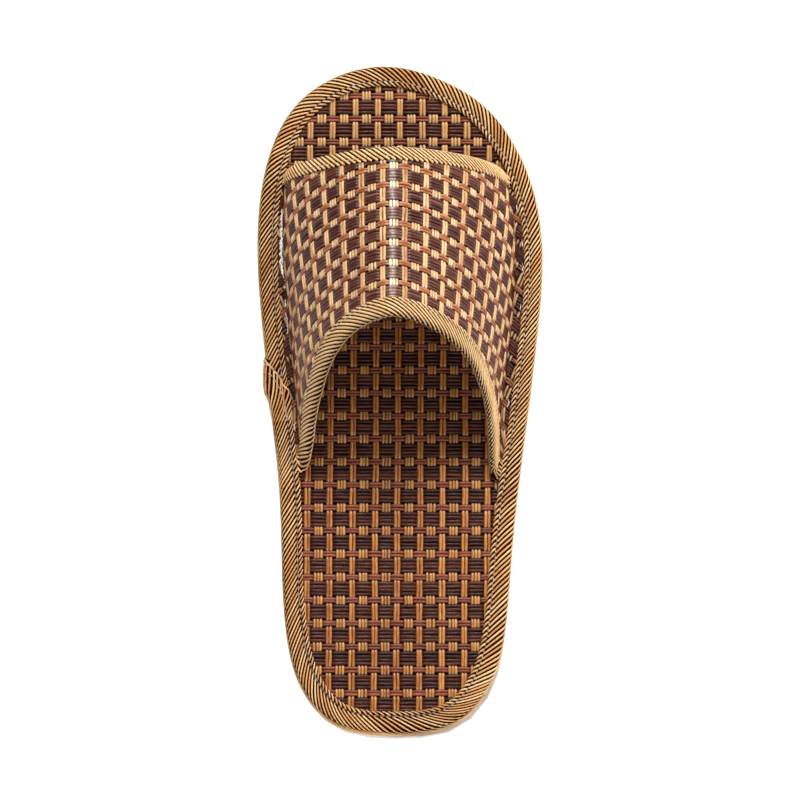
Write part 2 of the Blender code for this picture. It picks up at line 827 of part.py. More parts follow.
def build_sole_binding(material):
    """Bias tape wrapped round the insole's rim: over its top, down its side and tucked below."""
    thick = TAPE_THICKNESS
    profile = (
        (TAPE_TOP_WIDTH, insole_height, 1.0, FIT_GAP),
        (TAPE_TOP_WIDTH, insole_height, 1.0, FIT_GAP + thick),
        (3.0, insole_height, 1.0, FIT_GAP + thick),
        (0.9, insole_height, 0.6, FIT_GAP + thick - 0.1),
        (0.0, insole_height, 0.0, -0.6),
        (0.0, bed_height, 0.0, FIT_GAP + 1.0),
        (0.6, bed_height, 0.0, FIT_GAP),
        (TAPE_TUCK, bed_height, 0.0, FIT_GAP),
        (TAPE_TUCK, bed_height, 0.0, FIT_GAP + thick),
        (thick, bed_height, 0.0, FIT_GAP + thick),
        (thick, insole_height, 0.0, FIT_GAP),
        (3.0, insole_height, 1.0, FIT_GAP),
    )
    points, faces = sweep_profiles(tape_profiles(rim_curve(RIM_STATIONS), profile), closed=True)
    return make_object("sole_binding", points, faces, [material])


def build_binding_lap(material):
    """The tape's finishing end, lapped over its beginning on the medial side of the waist."""
    thick = TAPE_THICKNESS
    reach = FIT_GAP + thick
    profile = (
        (TAPE_TOP_WIDTH - 0.3, insole_height, 1.0, reach + FIT_GAP),
        (TAPE_TOP_WIDTH - 0.3, insole_height, 1.0, reach + FIT_GAP + thick),
        (3.0, insole_height, 1.0, reach + FIT_GAP + thick),
        (0.2, insole_height, 0.6, reach + FIT_GAP + thick - 0.4),
        (-reach, insole_height, 0.0, -0.2),
        (-reach, bed_height, 0.0, reach),
        (-FIT_GAP, bed_height, 0.0, reach),
        (-FIT_GAP, insole_height, 0.0, -0.6),
        (0.5, insole_height, 0.6, reach + FIT_GAP),
        (3.0, insole_height, 1.0, reach + FIT_GAP),
    )
    near = (FINE_RIM[:, 0] < 0) & (FINE_RIM[:, 1] > LAP_FROM) & (FINE_RIM[:, 1] < LAP_TO)
    profiles = [ring for ring, here in zip(tape_profiles(FINE_RIM, profile), near) if here][::3]
    points, faces = sweep_profiles(profiles, closed=False)
    return make_object("binding_lap", points, faces, [material])


# ---------------------------------------------------------------- assembly
def main():
    clear_scene()
    foam = make_material("outsole_foam_cream", (0.86, 0.80, 0.74), 0.6)
    tape = make_material("bias_tape_gold_stripe", (0.48, 0.27, 0.11), 0.75)
    mat = make_material("woven_paper_insole", (0.24, 0.11, 0.05), 0.6)
    tan = make_material("woven_strip_tan", (0.55, 0.33, 0.15), 0.5)
    dark = make_material("woven_strip_dark_brown", (0.07, 0.03, 0.02), 0.4)
    red = make_material("woven_strip_red_brown", (0.22, 0.06, 0.02), 0.4)

    slipper = bpy.data.objects.new("slipper", None)
    bpy.context.scene.collection.objects.link(slipper)
    pieces = [
        build_outsole(foam),
        build_insole(mat),
        build_upper(tan, dark, red),
        build_sole_binding(tape),
        build_binding_lap(tape),
        build_toe_binding(tape),
        build_throat_binding(tape),
    ]
    for piece in pieces:
        piece.parent = slipper


main()
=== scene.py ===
"""Looks of a woven indoor slipper for the right foot.

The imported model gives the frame: outsole, insole, vamp and tapes at their real size.  This script
dresses it.  Paper strands are woven one by one over the vamp and the insole, bias tape with raised
ribs is folded over every edge and sewn down, and a moulded foam sole lies below.

Sizes in the classes are millimetres; points become metres where a mesh is made.
Frame: +X towards the little toe, +Y towards the toe, +Z up, with the origin on the floor.
"""

from __future__ import annotations

import enum
import logging
import math
from dataclasses import dataclass, field
from typing import ClassVar, Callable, Iterable, Sequence

import bmesh
import bpy
import numpy as np
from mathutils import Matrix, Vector

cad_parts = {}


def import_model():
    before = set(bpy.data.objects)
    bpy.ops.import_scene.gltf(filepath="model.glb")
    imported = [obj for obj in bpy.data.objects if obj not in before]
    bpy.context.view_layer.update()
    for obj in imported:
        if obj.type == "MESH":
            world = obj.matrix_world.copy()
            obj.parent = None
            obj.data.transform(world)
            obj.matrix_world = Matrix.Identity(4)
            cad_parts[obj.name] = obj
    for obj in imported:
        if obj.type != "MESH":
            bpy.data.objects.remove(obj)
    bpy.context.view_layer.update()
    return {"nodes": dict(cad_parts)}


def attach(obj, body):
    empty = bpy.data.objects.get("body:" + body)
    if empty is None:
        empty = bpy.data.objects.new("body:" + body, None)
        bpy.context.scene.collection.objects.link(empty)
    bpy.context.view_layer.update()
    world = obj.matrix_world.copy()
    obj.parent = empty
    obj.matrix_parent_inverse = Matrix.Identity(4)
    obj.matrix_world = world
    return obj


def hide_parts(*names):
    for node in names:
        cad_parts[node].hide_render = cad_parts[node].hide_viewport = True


log = logging.getLogger("slipper")

MM = 0.001
BUMP_DEPTH = 0.2 * MM
BODY = "root"
Array = np.ndarray
Material = bpy.types.Material
Object = bpy.types.Object
Socket = bpy.types.NodeSocket
Tree = bpy.types.NodeTree


class Side(enum.IntEnum):
    """The two sides of the slipper, as signs of the across direction."""

    MEDIAL = -1
    LATERAL = 1


class Slot(enum.Enum):
    """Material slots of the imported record."""

    INSOLE = "woven_insole"
    UPPER = "woven_upper"
    TAPE = "bias_tape"


# ------------------------------------------------------------------ shape tables, as in the model
# Their figures rest on the output of separate measuring scripts, rounded.
# Plan outline of the bound rim, anticlockwise from the back of the heel: across, along.
OUTLINE = (
    (-1.5, -137.5), (24.0, -132.0), (37.0, -115.5), (42.2, -95.0), (44.4, -70.0), (47.2, -40.0),
    (51.3, -8.0), (55.2, 25.0), (57.5, 58.0), (54.8, 83.0), (47.0, 104.0), (34.5, 121.0),
    (18.0, 131.5), (-7.2, 137.5), (-29.0, 131.8), (-43.5, 120.0), (-52.5, 102.0), (-56.8, 80.0),
    (-57.5, 62.0), (-55.0, 25.0), (-51.6, -8.0), (-48.4, -40.0), (-47.4, -70.0), (-45.8, -95.0),
    (-41.0, -115.5), (-28.0, -132.3),
)

# Cross-sections of the vamp: station, foot_y, rise, lean, foot angle medial and lateral, and the
# wall's inset from the rim medial and lateral.
SECTIONS = (
    (-20.0, 98.8, 30.2, 28.0, 86.0, 79.0, 8.8, 9.2),
    (0.0, 76.2, 40.8, 28.0, 86.0, 79.0, 10.2, 10.6),
    (30.0, 44.9, 53.5, 25.6, 86.0, 79.0, 10.8, 11.0),
    (60.0, 14.9, 63.7, 23.1, 86.0, 79.0, 10.8, 11.0),
    (84.0, -8.7, 70.4, 21.5, 82.0, 78.0, 10.8, 11.0),
    (96.0, -20.3, 66.0, 21.0, 58.0, 73.0, 10.8, 11.0),
    (108.0, -31.8, 50.0, 20.5, 40.0, 68.0, 10.8, 11.0),
    (120.0, -43.0, 32.0, 20.0, 34.0, 62.0, 10.8, 11.0),
)

# Cut edges of the vamp seen from the side: height, along medial, along lateral.
TOE_ROWS = (
    (8.0, 94.6, 93.4), (20.0, 94.6, 94.0), (32.0, 94.0, 94.6), (45.0, 94.2, 95.0),
    (70.0, 94.8, 95.2),
)
THROAT_ROWS = (
    (8.0, -39.0, -41.0), (18.0, -30.8, -32.7), (22.0, -27.3, -28.3), (28.0, -21.6, -20.5),
    (34.0, -14.7, -12.1), (40.0, -9.1, -5.1), (46.0, -4.3, 0.0), (52.0, 0.8, 6.3),
    (60.0, 7.1, 11.3), (68.0, 12.8, 15.3), (74.0, 16.2, 17.4), (80.0, 18.7, 19.4),
    (100.0, 24.0, 24.0),
)


# ------------------------------------------------------------------ small helpers
def linear(hex_colour: str) -> tuple[float, float, float, float]:
    """Turn an sRGB hex colour into linear RGBA.

    Args:
        hex_colour: six hex digits, such as "C9975A".

    Returns:
        The colour in Blender's linear space, with alpha 1.
    """
    channels = [int(hex_colour[i : i + 2], 16) / 255 for i in (0, 2, 4)]
    values = [c / 12.92 if c <= 0.04045 else ((c + 0.055) / 1.055) ** 2.4 for c in channels]
    return values[0], values[1], values[2], 1.0


def add_node(
    tree: Tree, kind: str, settings: dict[str, object] | None = None,
    inputs: dict[str | int, object] | None = None,
) -> bpy.types.Node:
    """Add one node to a tree, with its settings, and its inputs set or linked.

    Args:
        tree: the tree that gets the node.
        kind: the node's Blender type name.
        settings: property values by name.
        inputs: a value or an output socket for each input, by name or number.

    Returns:
        The new node.
    """
    node = tree.nodes.new(kind)
    for name, value in (settings or {}).items():
        setattr(node, name, value)
    for name, value in (inputs or {}).items():
        if isinstance(value, Socket):
            tree.links.new(value, node.inputs[name])
        else:
            node.inputs[name].default_value = value
    return node


def add_math(tree: Tree, operation: str, *values: Socket | float) -> Socket:
    """Add one sum to a tree."""
    return add_node(
        tree, "ShaderNodeMath", {"operation": operation}, dict(enumerate(values))
    ).outputs["Value"]


def ease(values: Array, low: float, high: float) -> Array:
    """Smooth step of values from 0 at low to 1 at high."""
    share = np.clip((np.asarray(values, float) - low) / (high - low), 0, 1)
    return share * share * (3 - 2 * share)


def unit(vectors: Array) -> Array:
    """Vectors brought to length one."""
    return vectors / np.maximum(np.linalg.norm(vectors, axis=-1, keepdims=True), 1e-9)


def hermite(
    t: Array | float, ends: Sequence[Array], slopes: Sequence[Array], span: float
) -> Array | float:
    """Cubic between two end values with given end slopes, at shares t of a span."""
    return (
        (2 * t**3 - 3 * t**2 + 1) * ends[0]
        + (t**3 - 2 * t**2 + t) * slopes[0] * span
        + (3 * t**2 - 2 * t**3) * ends[1]
        + (t**3 - t**2) * slopes[1] * span
    )


def blend_cells(
    grid: Array, rows: tuple[Array, Array], column: Array, down: Array, over: Array
) -> Array:
    """Read a grid between two rows and two columns.

    Args:
        grid: the grid.
        rows: numbers of the near and the far row.
        column: number of the first column.
        down: share of the way from the near row to the far one.
        over: share of the way from the first column to the next.

    Returns:
        The bilinear reading.
    """
    near, far = (grid[row, column] * (1 - over) + grid[row, column + 1] * over for row in rows)
    return near * (1 - down) + far * down


def smooth_column(rows: Sequence[Sequence[float]], column: int, position: float) -> float:
    """Read a table's column at a position along its first column, without overshoot.

    Args:
        rows: the table, sorted by its first column.
        column: the column to read.
        position: where to read it.

    Returns:
        The smoothly interpolated value.
    """
    x = [row[0] for row in rows]
    y = [row[column] for row in rows]
    slopes = [(y[i + 1] - y[i]) / (x[i + 1] - x[i]) for i in range(len(x) - 1)]
    tangents = [slopes[0]]
    for before, after in zip(slopes, slopes[1:]):
        tangents.append((before + after) / 2 if before * after > 0 else 0.0)
    tangents.append(slopes[-1])
    i = min(max(int(np.searchsorted(x, position)) - 1, 0), len(x) - 2)
    span = x[i + 1] - x[i]
    return hermite((position - x[i]) / span, y[i : i + 2], tangents[i : i + 2], span)


def arc_lengths(points: Array) -> Array:
    """Length along a line of points, from its first one."""
    steps = np.linalg.norm(np.diff(points, axis=0), axis=1)
    return np.concatenate([[0.0], np.cumsum(steps)])


def spread_evenly(points: Array, count: int) -> Array:
    """Points at even spacing along a line of points."""
    lengths = arc_lengths(points)
    even = np.linspace(0, lengths[-1], count)
    return np.stack([np.interp(even, lengths, column) for column in points.T], 1)


def make_mesh_object(
    name: str, points: Array, faces: Iterable[Sequence[int]],
    materials: Sequence[Material], face_slots: Sequence[int] | None = None,
) -> Object:
    """Make a smooth object from points in millimetres, with its faces turned outwards.

    Args:
        name: the object's name.
        points: an (N, 3) array.
        faces: vertex numbers of each face.
        materials: the object's material slots.
        face_slots: each face's slot, or None for the first.

    Returns:
        The object, linked to the scene.
    """
    mesh = bpy.data.meshes.new(name)
    mesh.from_pydata((np.asarray(points) * MM).tolist(), [], [tuple(face) for face in faces])
    for material in materials:
        mesh.materials.append(material)
    if face_slots is not None:
        mesh.polygons.foreach_set("material_index", face_slots)
    shape = bmesh.new()
    shape.from_mesh(mesh)
    bmesh.ops.recalc_face_normals(shape, faces=shape.faces[:])
    shape.to_mesh(mesh)
    shape.free()
    mesh.shade_smooth()
    obj = bpy.data.objects.new(name, mesh)
    bpy.context.scene.collection.objects.link(obj)
    return obj


def grid_faces(rows: int, columns: int, closed: bool = False, start: int = 0) -> list[tuple]:
    """Quads of a grid of vertices, row by row.

    Args:
        rows: number of rows.
        columns: number of vertices in each row.
        closed: whether the last row joins the first.
        start: the first vertex's number.

    Returns:
        The quads' vertex numbers.
    """
    faces = []
    for i in range(rows if closed else rows - 1):
        base, following = start + i * columns, start + (i + 1) % rows * columns
        for j in range(columns - 1):
            faces.append((base + j, base + j + 1, following + j + 1, following + j))
    return faces


def shell_faces(rows: int, columns: int, closed: bool) -> list[tuple]:
    """Faces of a shell made of two equal grids, one after the other, joined round their edges."""
    size = rows * columns
    faces = grid_faces(rows, columns, closed) + grid_faces(rows, columns, closed, size)
    for i in range(rows if closed else rows - 1):
        base, following = i * columns, (i + 1) % rows * columns
        for j in (0, columns - 1):
            faces.append((base + j, following + j, size + following + j, size + base + j))
    if not closed:
        for base in (0, (rows - 1) * columns):
            for j in range(columns - 1):
                i = base + j
                faces.append((i, i + 1, size + i + 1, size + i))
    return faces


# ------------------------------------------------------------------ finishes
@dataclass(frozen=True)
class Finish:
    """A procedural material: colours over a pattern, a fine relief and the shader's constants."""

    name: str

    def start(self) -> tuple[Material, Tree]:
        """Make the empty material."""
        material = bpy.data.materials.new(self.name)
        material.use_nodes = True
        return material, material.node_tree

    def pattern(self, tree: Tree, kind: str, inputs: dict[str, float]) -> bpy.types.Node:
        """Add a noise or cell pattern on object coordinates."""
        place = add_node(tree, "ShaderNodeTexCoord")
        return add_node(tree, kind, inputs={"Vector": place.outputs["Object"], **inputs})

    def ramp(self, tree: Tree, factor: Socket, stops: Sequence[tuple[float, str]]) -> Socket:
        """Colour that runs through stops as a factor rises."""
        node = add_node(tree, "ShaderNodeValToRGB", inputs={"Fac": factor})
        elements = node.color_ramp.elements
        for element, (position, colour) in zip(elements, (stops[0], stops[-1])):
            element.position, element.color = position, linear(colour)
        for position, colour in stops[1:-1]:
            elements.new(position).color = linear(colour)
        return node.outputs["Color"]

    def close(
        self, material: Material, colour: Socket,
        relief: tuple[Socket, float] | None, constants: dict[str, object],
    ) -> Material:
        """Finish the shader.

        Args:
            material: the started material.
            colour: its colour.
            relief: the bump's height and strength, or None for a plain face.
            constants: values of the shader's other inputs.

        Returns:
            The material.
        """
        tree = material.node_tree
        shader = tree.nodes["Principled BSDF"]
        tree.links.new(colour, shader.inputs["Base Color"])
        if relief is not None:
            height, strength = relief
            values = {"Strength": strength, "Distance": BUMP_DEPTH, "Height": height}
            bump = add_node(tree, "ShaderNodeBump", inputs=values)
            tree.links.new(bump.outputs["Normal"], shader.inputs["Normal"])
        for name, value in constants.items():
            shader.inputs[name].default_value = value
        return material


@dataclass(frozen=True)
class PaperStrand(Finish):
    """Twisted and dyed paper strand: fibre streaks along it and a soft waxy gloss.

    It reads what the strand tool stores: grain (run, around), its tone, its glint, a painted
    highlight where it bends over its neighbours and along the vamp's ridge, and how deep each spot
    lies in the cavities between strands, which sets a painted shade.
    """

    shade: str
    body: str
    light: str
    deep: str
    tip: str
    tipping: float = 0.6
    cavity: tuple[float, float] = (0.5, 0.9)
    roughness: float = 0.45
    specular: float = 0.5
    streak_length: float = 5.0
    streaks_around: float = 1.6

    TONE_SHARE: ClassVar[float] = 0.26
    STREAK_BUMP: ClassVar[float] = 0.5

    def build(self) -> Material:
        """Make the material."""
        material, tree = self.start()
        tone, glint, cavity = (
            add_node(tree, "ShaderNodeAttribute", {"attribute_name": name})
            for name in ("tone", "glint", "cavity")
        )
        streaks = self._streaks(tree, tone)
        blend = add_math(tree, "MULTIPLY_ADD", tone.outputs["Fac"], self.TONE_SHARE, streaks)
        stops = ((0.42, self.shade), (0.62, self.body), (0.86, self.light))
        dyed = self.ramp(tree, blend, stops)
        # Painted highlight: bends and the ridge turn towards the pale tip colour.
        # Painted shade: the cavities between strands turn towards the deep colour.
        glint_share = add_math(tree, "MULTIPLY", glint.outputs["Fac"], self.tipping)
        glinted = self._mix(tree, glint_share, dyed, linear(self.tip))
        low, high = self.cavity
        opened = add_node(
            tree, "ShaderNodeMapRange", {"interpolation_type": "SMOOTHSTEP"},
            {"Value": cavity.outputs["Fac"], "From Min": low, "From Max": high},
        )
        shaded = self._mix(tree, opened.outputs["Result"], linear(self.deep), glinted)
        constants = {"Roughness": self.roughness, "Specular IOR Level": self.specular}
        return self.close(material, shaded, (streaks, self.STREAK_BUMP), constants)

    def _mix(self, tree: Tree, share: Socket, first: object, second: object) -> Socket:
        """Mix two colours; Blender numbers the colour sockets of this node 6, 7 and 2."""
        node = add_node(
            tree, "ShaderNodeMix", {"data_type": "RGBA"}, {0: share, 6: first, 7: second}
        )
        return node.outputs[2]

    def _streaks(self, tree: Tree, tone: bpy.types.Node) -> Socket:
        """Fibres that run a few millimetres along the strand, different on each one."""
        grain = add_node(tree, "ShaderNodeAttribute", {"attribute_name": "grain"})
        scale = (1.0 / self.streak_length, self.streaks_around, self.streaks_around)
        stretched = add_node(
            tree, "ShaderNodeMapping", inputs={"Vector": grain.outputs["Vector"], "Scale": scale}
        )
        shifted = add_node(
            tree, "ShaderNodeVectorMath", {"operation": "MULTIPLY_ADD"},
            {0: tone.outputs["Vector"], 1: (37.0, 91.0, 53.0), 2: stretched.outputs["Vector"]},
        )
        noise = {"Vector": shifted.outputs["Vector"], "Scale": 1.0, "Detail": 4.0}
        return add_node(
            tree, "ShaderNodeTexNoise", inputs={**noise, "Roughness": 0.65}
        ).outputs["Fac"]


@dataclass(frozen=True)
class Cloth(Finish):
    """Woven cotton or polyester: two colours mixed in fine flecks, matt with a slight sheen."""

    low: str
    high: str
    thread: float = 0.45
    roughness: float = 0.8
    sheen: float = 0.1
    bump: float = 0.3
    specular: float = 0.4

    def build(self) -> Material:
        """Make the material."""
        material, tree = self.start()
        # Real threads are about half as thick; at this size they still show as flecks.
        scale = 1.0 / (self.thread * MM)
        inputs = {"Scale": scale, "Detail": 3.0, "Roughness": 0.6}
        flecks = self.pattern(tree, "ShaderNodeTexNoise", inputs).outputs["Fac"]
        colour = self.ramp(tree, flecks, ((0.34, self.low), (0.66, self.high)))
        constants = {
            "Roughness": self.roughness, "Sheen Weight": self.sheen,
            "Specular IOR Level": self.specular,
        }
        return self.close(material, colour, (flecks, self.bump), constants)


@dataclass(frozen=True)
class MouldedFoam(Finish):
    """Moulded EVA foam: matt cream skin with fine cells and faint mottling."""

    low: str = "DCCDC4"
    high: str = "EFE4DC"
    cell: float = 0.6
    mottling: float = 90.0
    roughness: float = 0.62

    def build(self) -> Material:
        """Make the material."""
        material, tree = self.start()
        inputs = {"Scale": self.mottling, "Detail": 5.0}
        mottle = self.pattern(tree, "ShaderNodeTexNoise", inputs)
        colour = self.ramp(tree, mottle.outputs["Fac"], ((0.35, self.low), (0.7, self.high)))
        cells = self.pattern(tree, "ShaderNodeTexVoronoi", {"Scale": 1.0 / (self.cell * MM)})
        relief = (cells.outputs["Distance"], 0.25)
        return self.close(material, colour, relief, {"Roughness": self.roughness})


@dataclass(frozen=True)
class LitAcrylic(Finish):
    """Opal acrylic lit from within, like a light table: an even pale ground with no edge."""

    low: str = "7C7C7C"
    high: str = "848484"

    def build(self) -> Material:
        """Make the material."""
        material, tree = self.start()
        cloud = self.pattern(tree, "ShaderNodeTexNoise", {"Scale": 3.0, "Detail": 2.0})
        colour = self.ramp(tree, cloud.outputs["Fac"], ((0.0, self.low), (1.0, self.high)))
        constants = {
            "Roughness": 0.9, "Emission Color": (1.0, 1.0, 1.0, 1.0), "Emission Strength": 1.0
        }
        return self.close(material, colour, None, constants)


def made(finish: Finish) -> Material:
    """A field whose value is a finish's material, built when the set is."""
    return field(default_factory=finish.build)


@dataclass(frozen=True)
class Finishes:
    """Every material of the slipper, made once and in this order.

    A paper strand's colours are its streaks' shade, body and light, the painted shade in its
    cavities and the painted highlight on its bends and the ridge.
    """

    # Undyed paper: honey strands, with a painted highlight where they bend and along the ridge.
    vamp_tan: Material = made(
        PaperStrand(
            "paper_strand_natural", "985C2A", "CF9A5E", "EAC590", "2E0E04", "FFEBC8",
            tipping=0.45, cavity=(0.52, 0.92), roughness=0.4,
        )
    )
    # Umber dye: dark, dull strands that let the tan ones stand out.
    vamp_dark: Material = made(
        PaperStrand(
            "paper_strand_dyed_umber", "34130C", "58281C", "84503F", "080000", "CBB2A6",
            tipping=0.2, cavity=(0.54, 0.93), roughness=0.36, specular=0.27,
        )
    )
    # Rust dye: warm narrow bars between the dark ones.
    vamp_red: Material = made(
        PaperStrand(
            "paper_strand_dyed_rust", "6A2A10", "A4582E", "CC8450", "2A0B04", "E0A070",
            tipping=0.5, roughness=0.36,
        )
    )
    # The same three on the insole as darker, browner and duller copies: the difference is partly
    # painted shade, as the insole gets less light than the vamp.
    insole_tan: Material = made(
        PaperStrand(
            "paper_strand_natural_shaded", "7A3E14", "A9652A", "CC924E", "1C0803", "F4C888",
            tipping=0.4, roughness=0.42,
        )
    )
    insole_dark: Material = made(
        PaperStrand(
            "paper_strand_dyed_umber_shaded", "1E0804", "3A150A", "643220", "0C0201", "5C3223",
            tipping=0.3, cavity=(0.5, 0.86), roughness=0.36, specular=0.25,
        )
    )
    insole_red: Material = made(
        PaperStrand(
            "paper_strand_dyed_rust_shaded", "481408", "763014", "9A5028", "180502", "9A5430",
            tipping=0.3,
        )
    )
    # Near-black cloth that shows as lines between the tape's cords.
    tape_ground: Material = made(
        Cloth(
            "bias_tape_ground_polyester_twill", "1C0301", "320A04",
            roughness=0.85, sheen=0.0, specular=0.03,
        )
    )
    # Straw-coloured cords with short twisted streaks.
    tape_rib: Material = made(
        PaperStrand(
            "bias_tape_rib_polyester_cord", "C07A3C", "E8AC66", "FFE2AC", "220400", "FFE2AC",
            cavity=(0.62, 0.96), roughness=0.55, streak_length=0.7, streaks_around=2.4,
        )
    )
    # Grey stitches sunk in the seam's groove.
    thread: Material = made(Cloth("sewing_thread_grey_polyester", "948278", "CEC2BA"))
    # White fluff in the crease.
    overlock: Material = made(Cloth("overlock_thread_white_cotton", "D8CDC4", "F6F2EE"))
    # Dark backing that shows between strands; its darkness is partly painted shade for the gaps.
    scrim_and_gap_shade: Material = made(Cloth("backing_scrim_brown_gap_shade", "1C110C", "33201A", roughness=0.9))
    # Pale inside of the vamp.
    lining: Material = made(Cloth("lining_cotton_ecru", "CFC1AC", "E8DDCB", thread=0.7))
    # Cream sole.
    foam: Material = made(MouldedFoam("eva_foam_moulded_cream"))


# ------------------------------------------------------------------ forms
@dataclass(frozen=True)
class SoleForm:
    """Outline and heights of the sole."""

    length: float = 275.0
    ball_width: float = 115.0
    gap: float = 0.3
    heel_height: float = 10.0
    ball_height: float = 8.5
    wedge_from: float = -60.0
    wedge_to: float = 60.0
    toe_spring: float = 3.0
    spring_from: float = 85.0
    insole_thickness: float = 6.4
    wall: float = 1.5
    flange_front: float = 94.5
    flange_back: float = -33.0
    lift_margin: float = 4.0
    lift_ramp: float = 7.0

    def rim(self, count: int) -> Array:
        """Even points round the rim's plan outline, anticlockwise from the heel."""
        knots = np.array(OUTLINE, float)
        size = len(knots)
        span = np.linalg.norm(np.roll(knots, -1, 0) - knots, axis=1)
        matrix = np.zeros((size, size))
        target = np.zeros((size, 2))
        for i in range(size):
            before, after, following = span[i - 1], span[i], (i + 1) % size
            matrix[i, i - 1] += after
            matrix[i, i] += 2 * (before + after)
            matrix[i, following] += before
            rise = after * (knots[i] - knots[i - 1]) / before
            run = before * (knots[following] - knots[i]) / after
            target[i] = 3 * (rise + run)
        tangent = np.linalg.solve(matrix, target)
        t = np.linspace(0, 1, 40, endpoint=False)[:, None]
        pieces = []
        for i in range(size):
            pair = [i, (i + 1) % size]
            pieces.append(hermite(t, knots[pair], tangent[pair], span[i]))
        curve = spread_evenly(np.concatenate([*pieces, pieces[0][:1]]), count + 1)[:-1]
        low, high = curve.min(0), curve.max(0)
        size_wanted = np.array([self.ball_width, self.length])
        return (curve - (low + high) / 2) * size_wanted / (high - low)

    def inset(self, curve: Array, distance: float | Array) -> Array:
        """The outline moved inwards by a distance."""
        along = unit(np.roll(curve, -1, 0) - np.roll(curve, 1, 0))
        inwards = np.stack([-along[:, 1], along[:, 0]], 1)
        return curve + inwards * np.broadcast_to(distance, len(curve))[:, None]

    def side_edge(self, curve: Array, side: Side) -> tuple[Array, Array]:
        """One side of an outline as (along, across) columns in rising order of along."""
        heel, toe = int(curve[:, 1].argmin()), int(curve[:, 1].argmax())
        turned = np.roll(curve, -heel, axis=0)
        toe = (toe - heel) % len(curve)
        if side is Side.LATERAL:
            part = turned[: toe + 1]
        else:
            part = np.vstack([turned[toe:], turned[:1]])[::-1]
        return part[:, 1], part[:, 0]

    def spring(self, y: Array) -> Array:
        """How far the toe springs up off the floor."""
        share = np.clip((y - self.spring_from) / (self.length / 2 - self.spring_from), 0, None)
        return self.toe_spring * share**2

    def bed(self, y: Array) -> Array:
        """Top of the outsole."""
        heights = (self.heel_height, self.ball_height)
        return np.interp(y, (self.wedge_from, self.wedge_to), heights) + self.spring(y)

    def insole_top(self, y: Array) -> Array:
        """Top of the insole, which the foot stands on."""
        return self.bed(y) + self.gap + self.insole_thickness

    def flange_top(self, y: Array) -> Array:
        """Top of the vamp's turned-out flange, which lies on the insole."""
        return self.insole_top(y) + self.gap + self.wall

    def flange_lift(self, y: Array) -> Array:
        """How far the flange under the sole's tape raises it."""
        reach = self.lift_margin + self.lift_ramp
        front = np.clip((self.flange_front + reach - y) / self.lift_ramp, 0, 1)
        back = np.clip((y - self.flange_back + reach) / self.lift_ramp, 0, 1)
        share = np.minimum(front, back)
        return (self.wall + self.gap) * share * share * (3 - 2 * share)


@dataclass(frozen=True)
class CutEdge:
    """A cut edge of the vamp as it is seen from the side."""

    rows: tuple[tuple[float, float, float], ...]
    sense: int
    ridge_x: float = -3.0
    half_width: float = 34.0

    def depth(self, points: Array) -> Array:
        """How deep points lie inside the kept vamp, along the slipper."""
        heights, medial, lateral = np.array(self.rows).T
        share = np.clip((points[..., 0] - self.ridge_x) / self.half_width, -1, 1)
        low = np.interp(points[..., 2], heights, medial)
        high = np.interp(points[..., 2], heights, lateral)
        return self.sense * (points[..., 1] - (low + (high - low) * (1 + share) / 2))


TOE_EDGE = CutEdge(TOE_ROWS, -1)
THROAT_EDGE = CutEdge(THROAT_ROWS, 1)


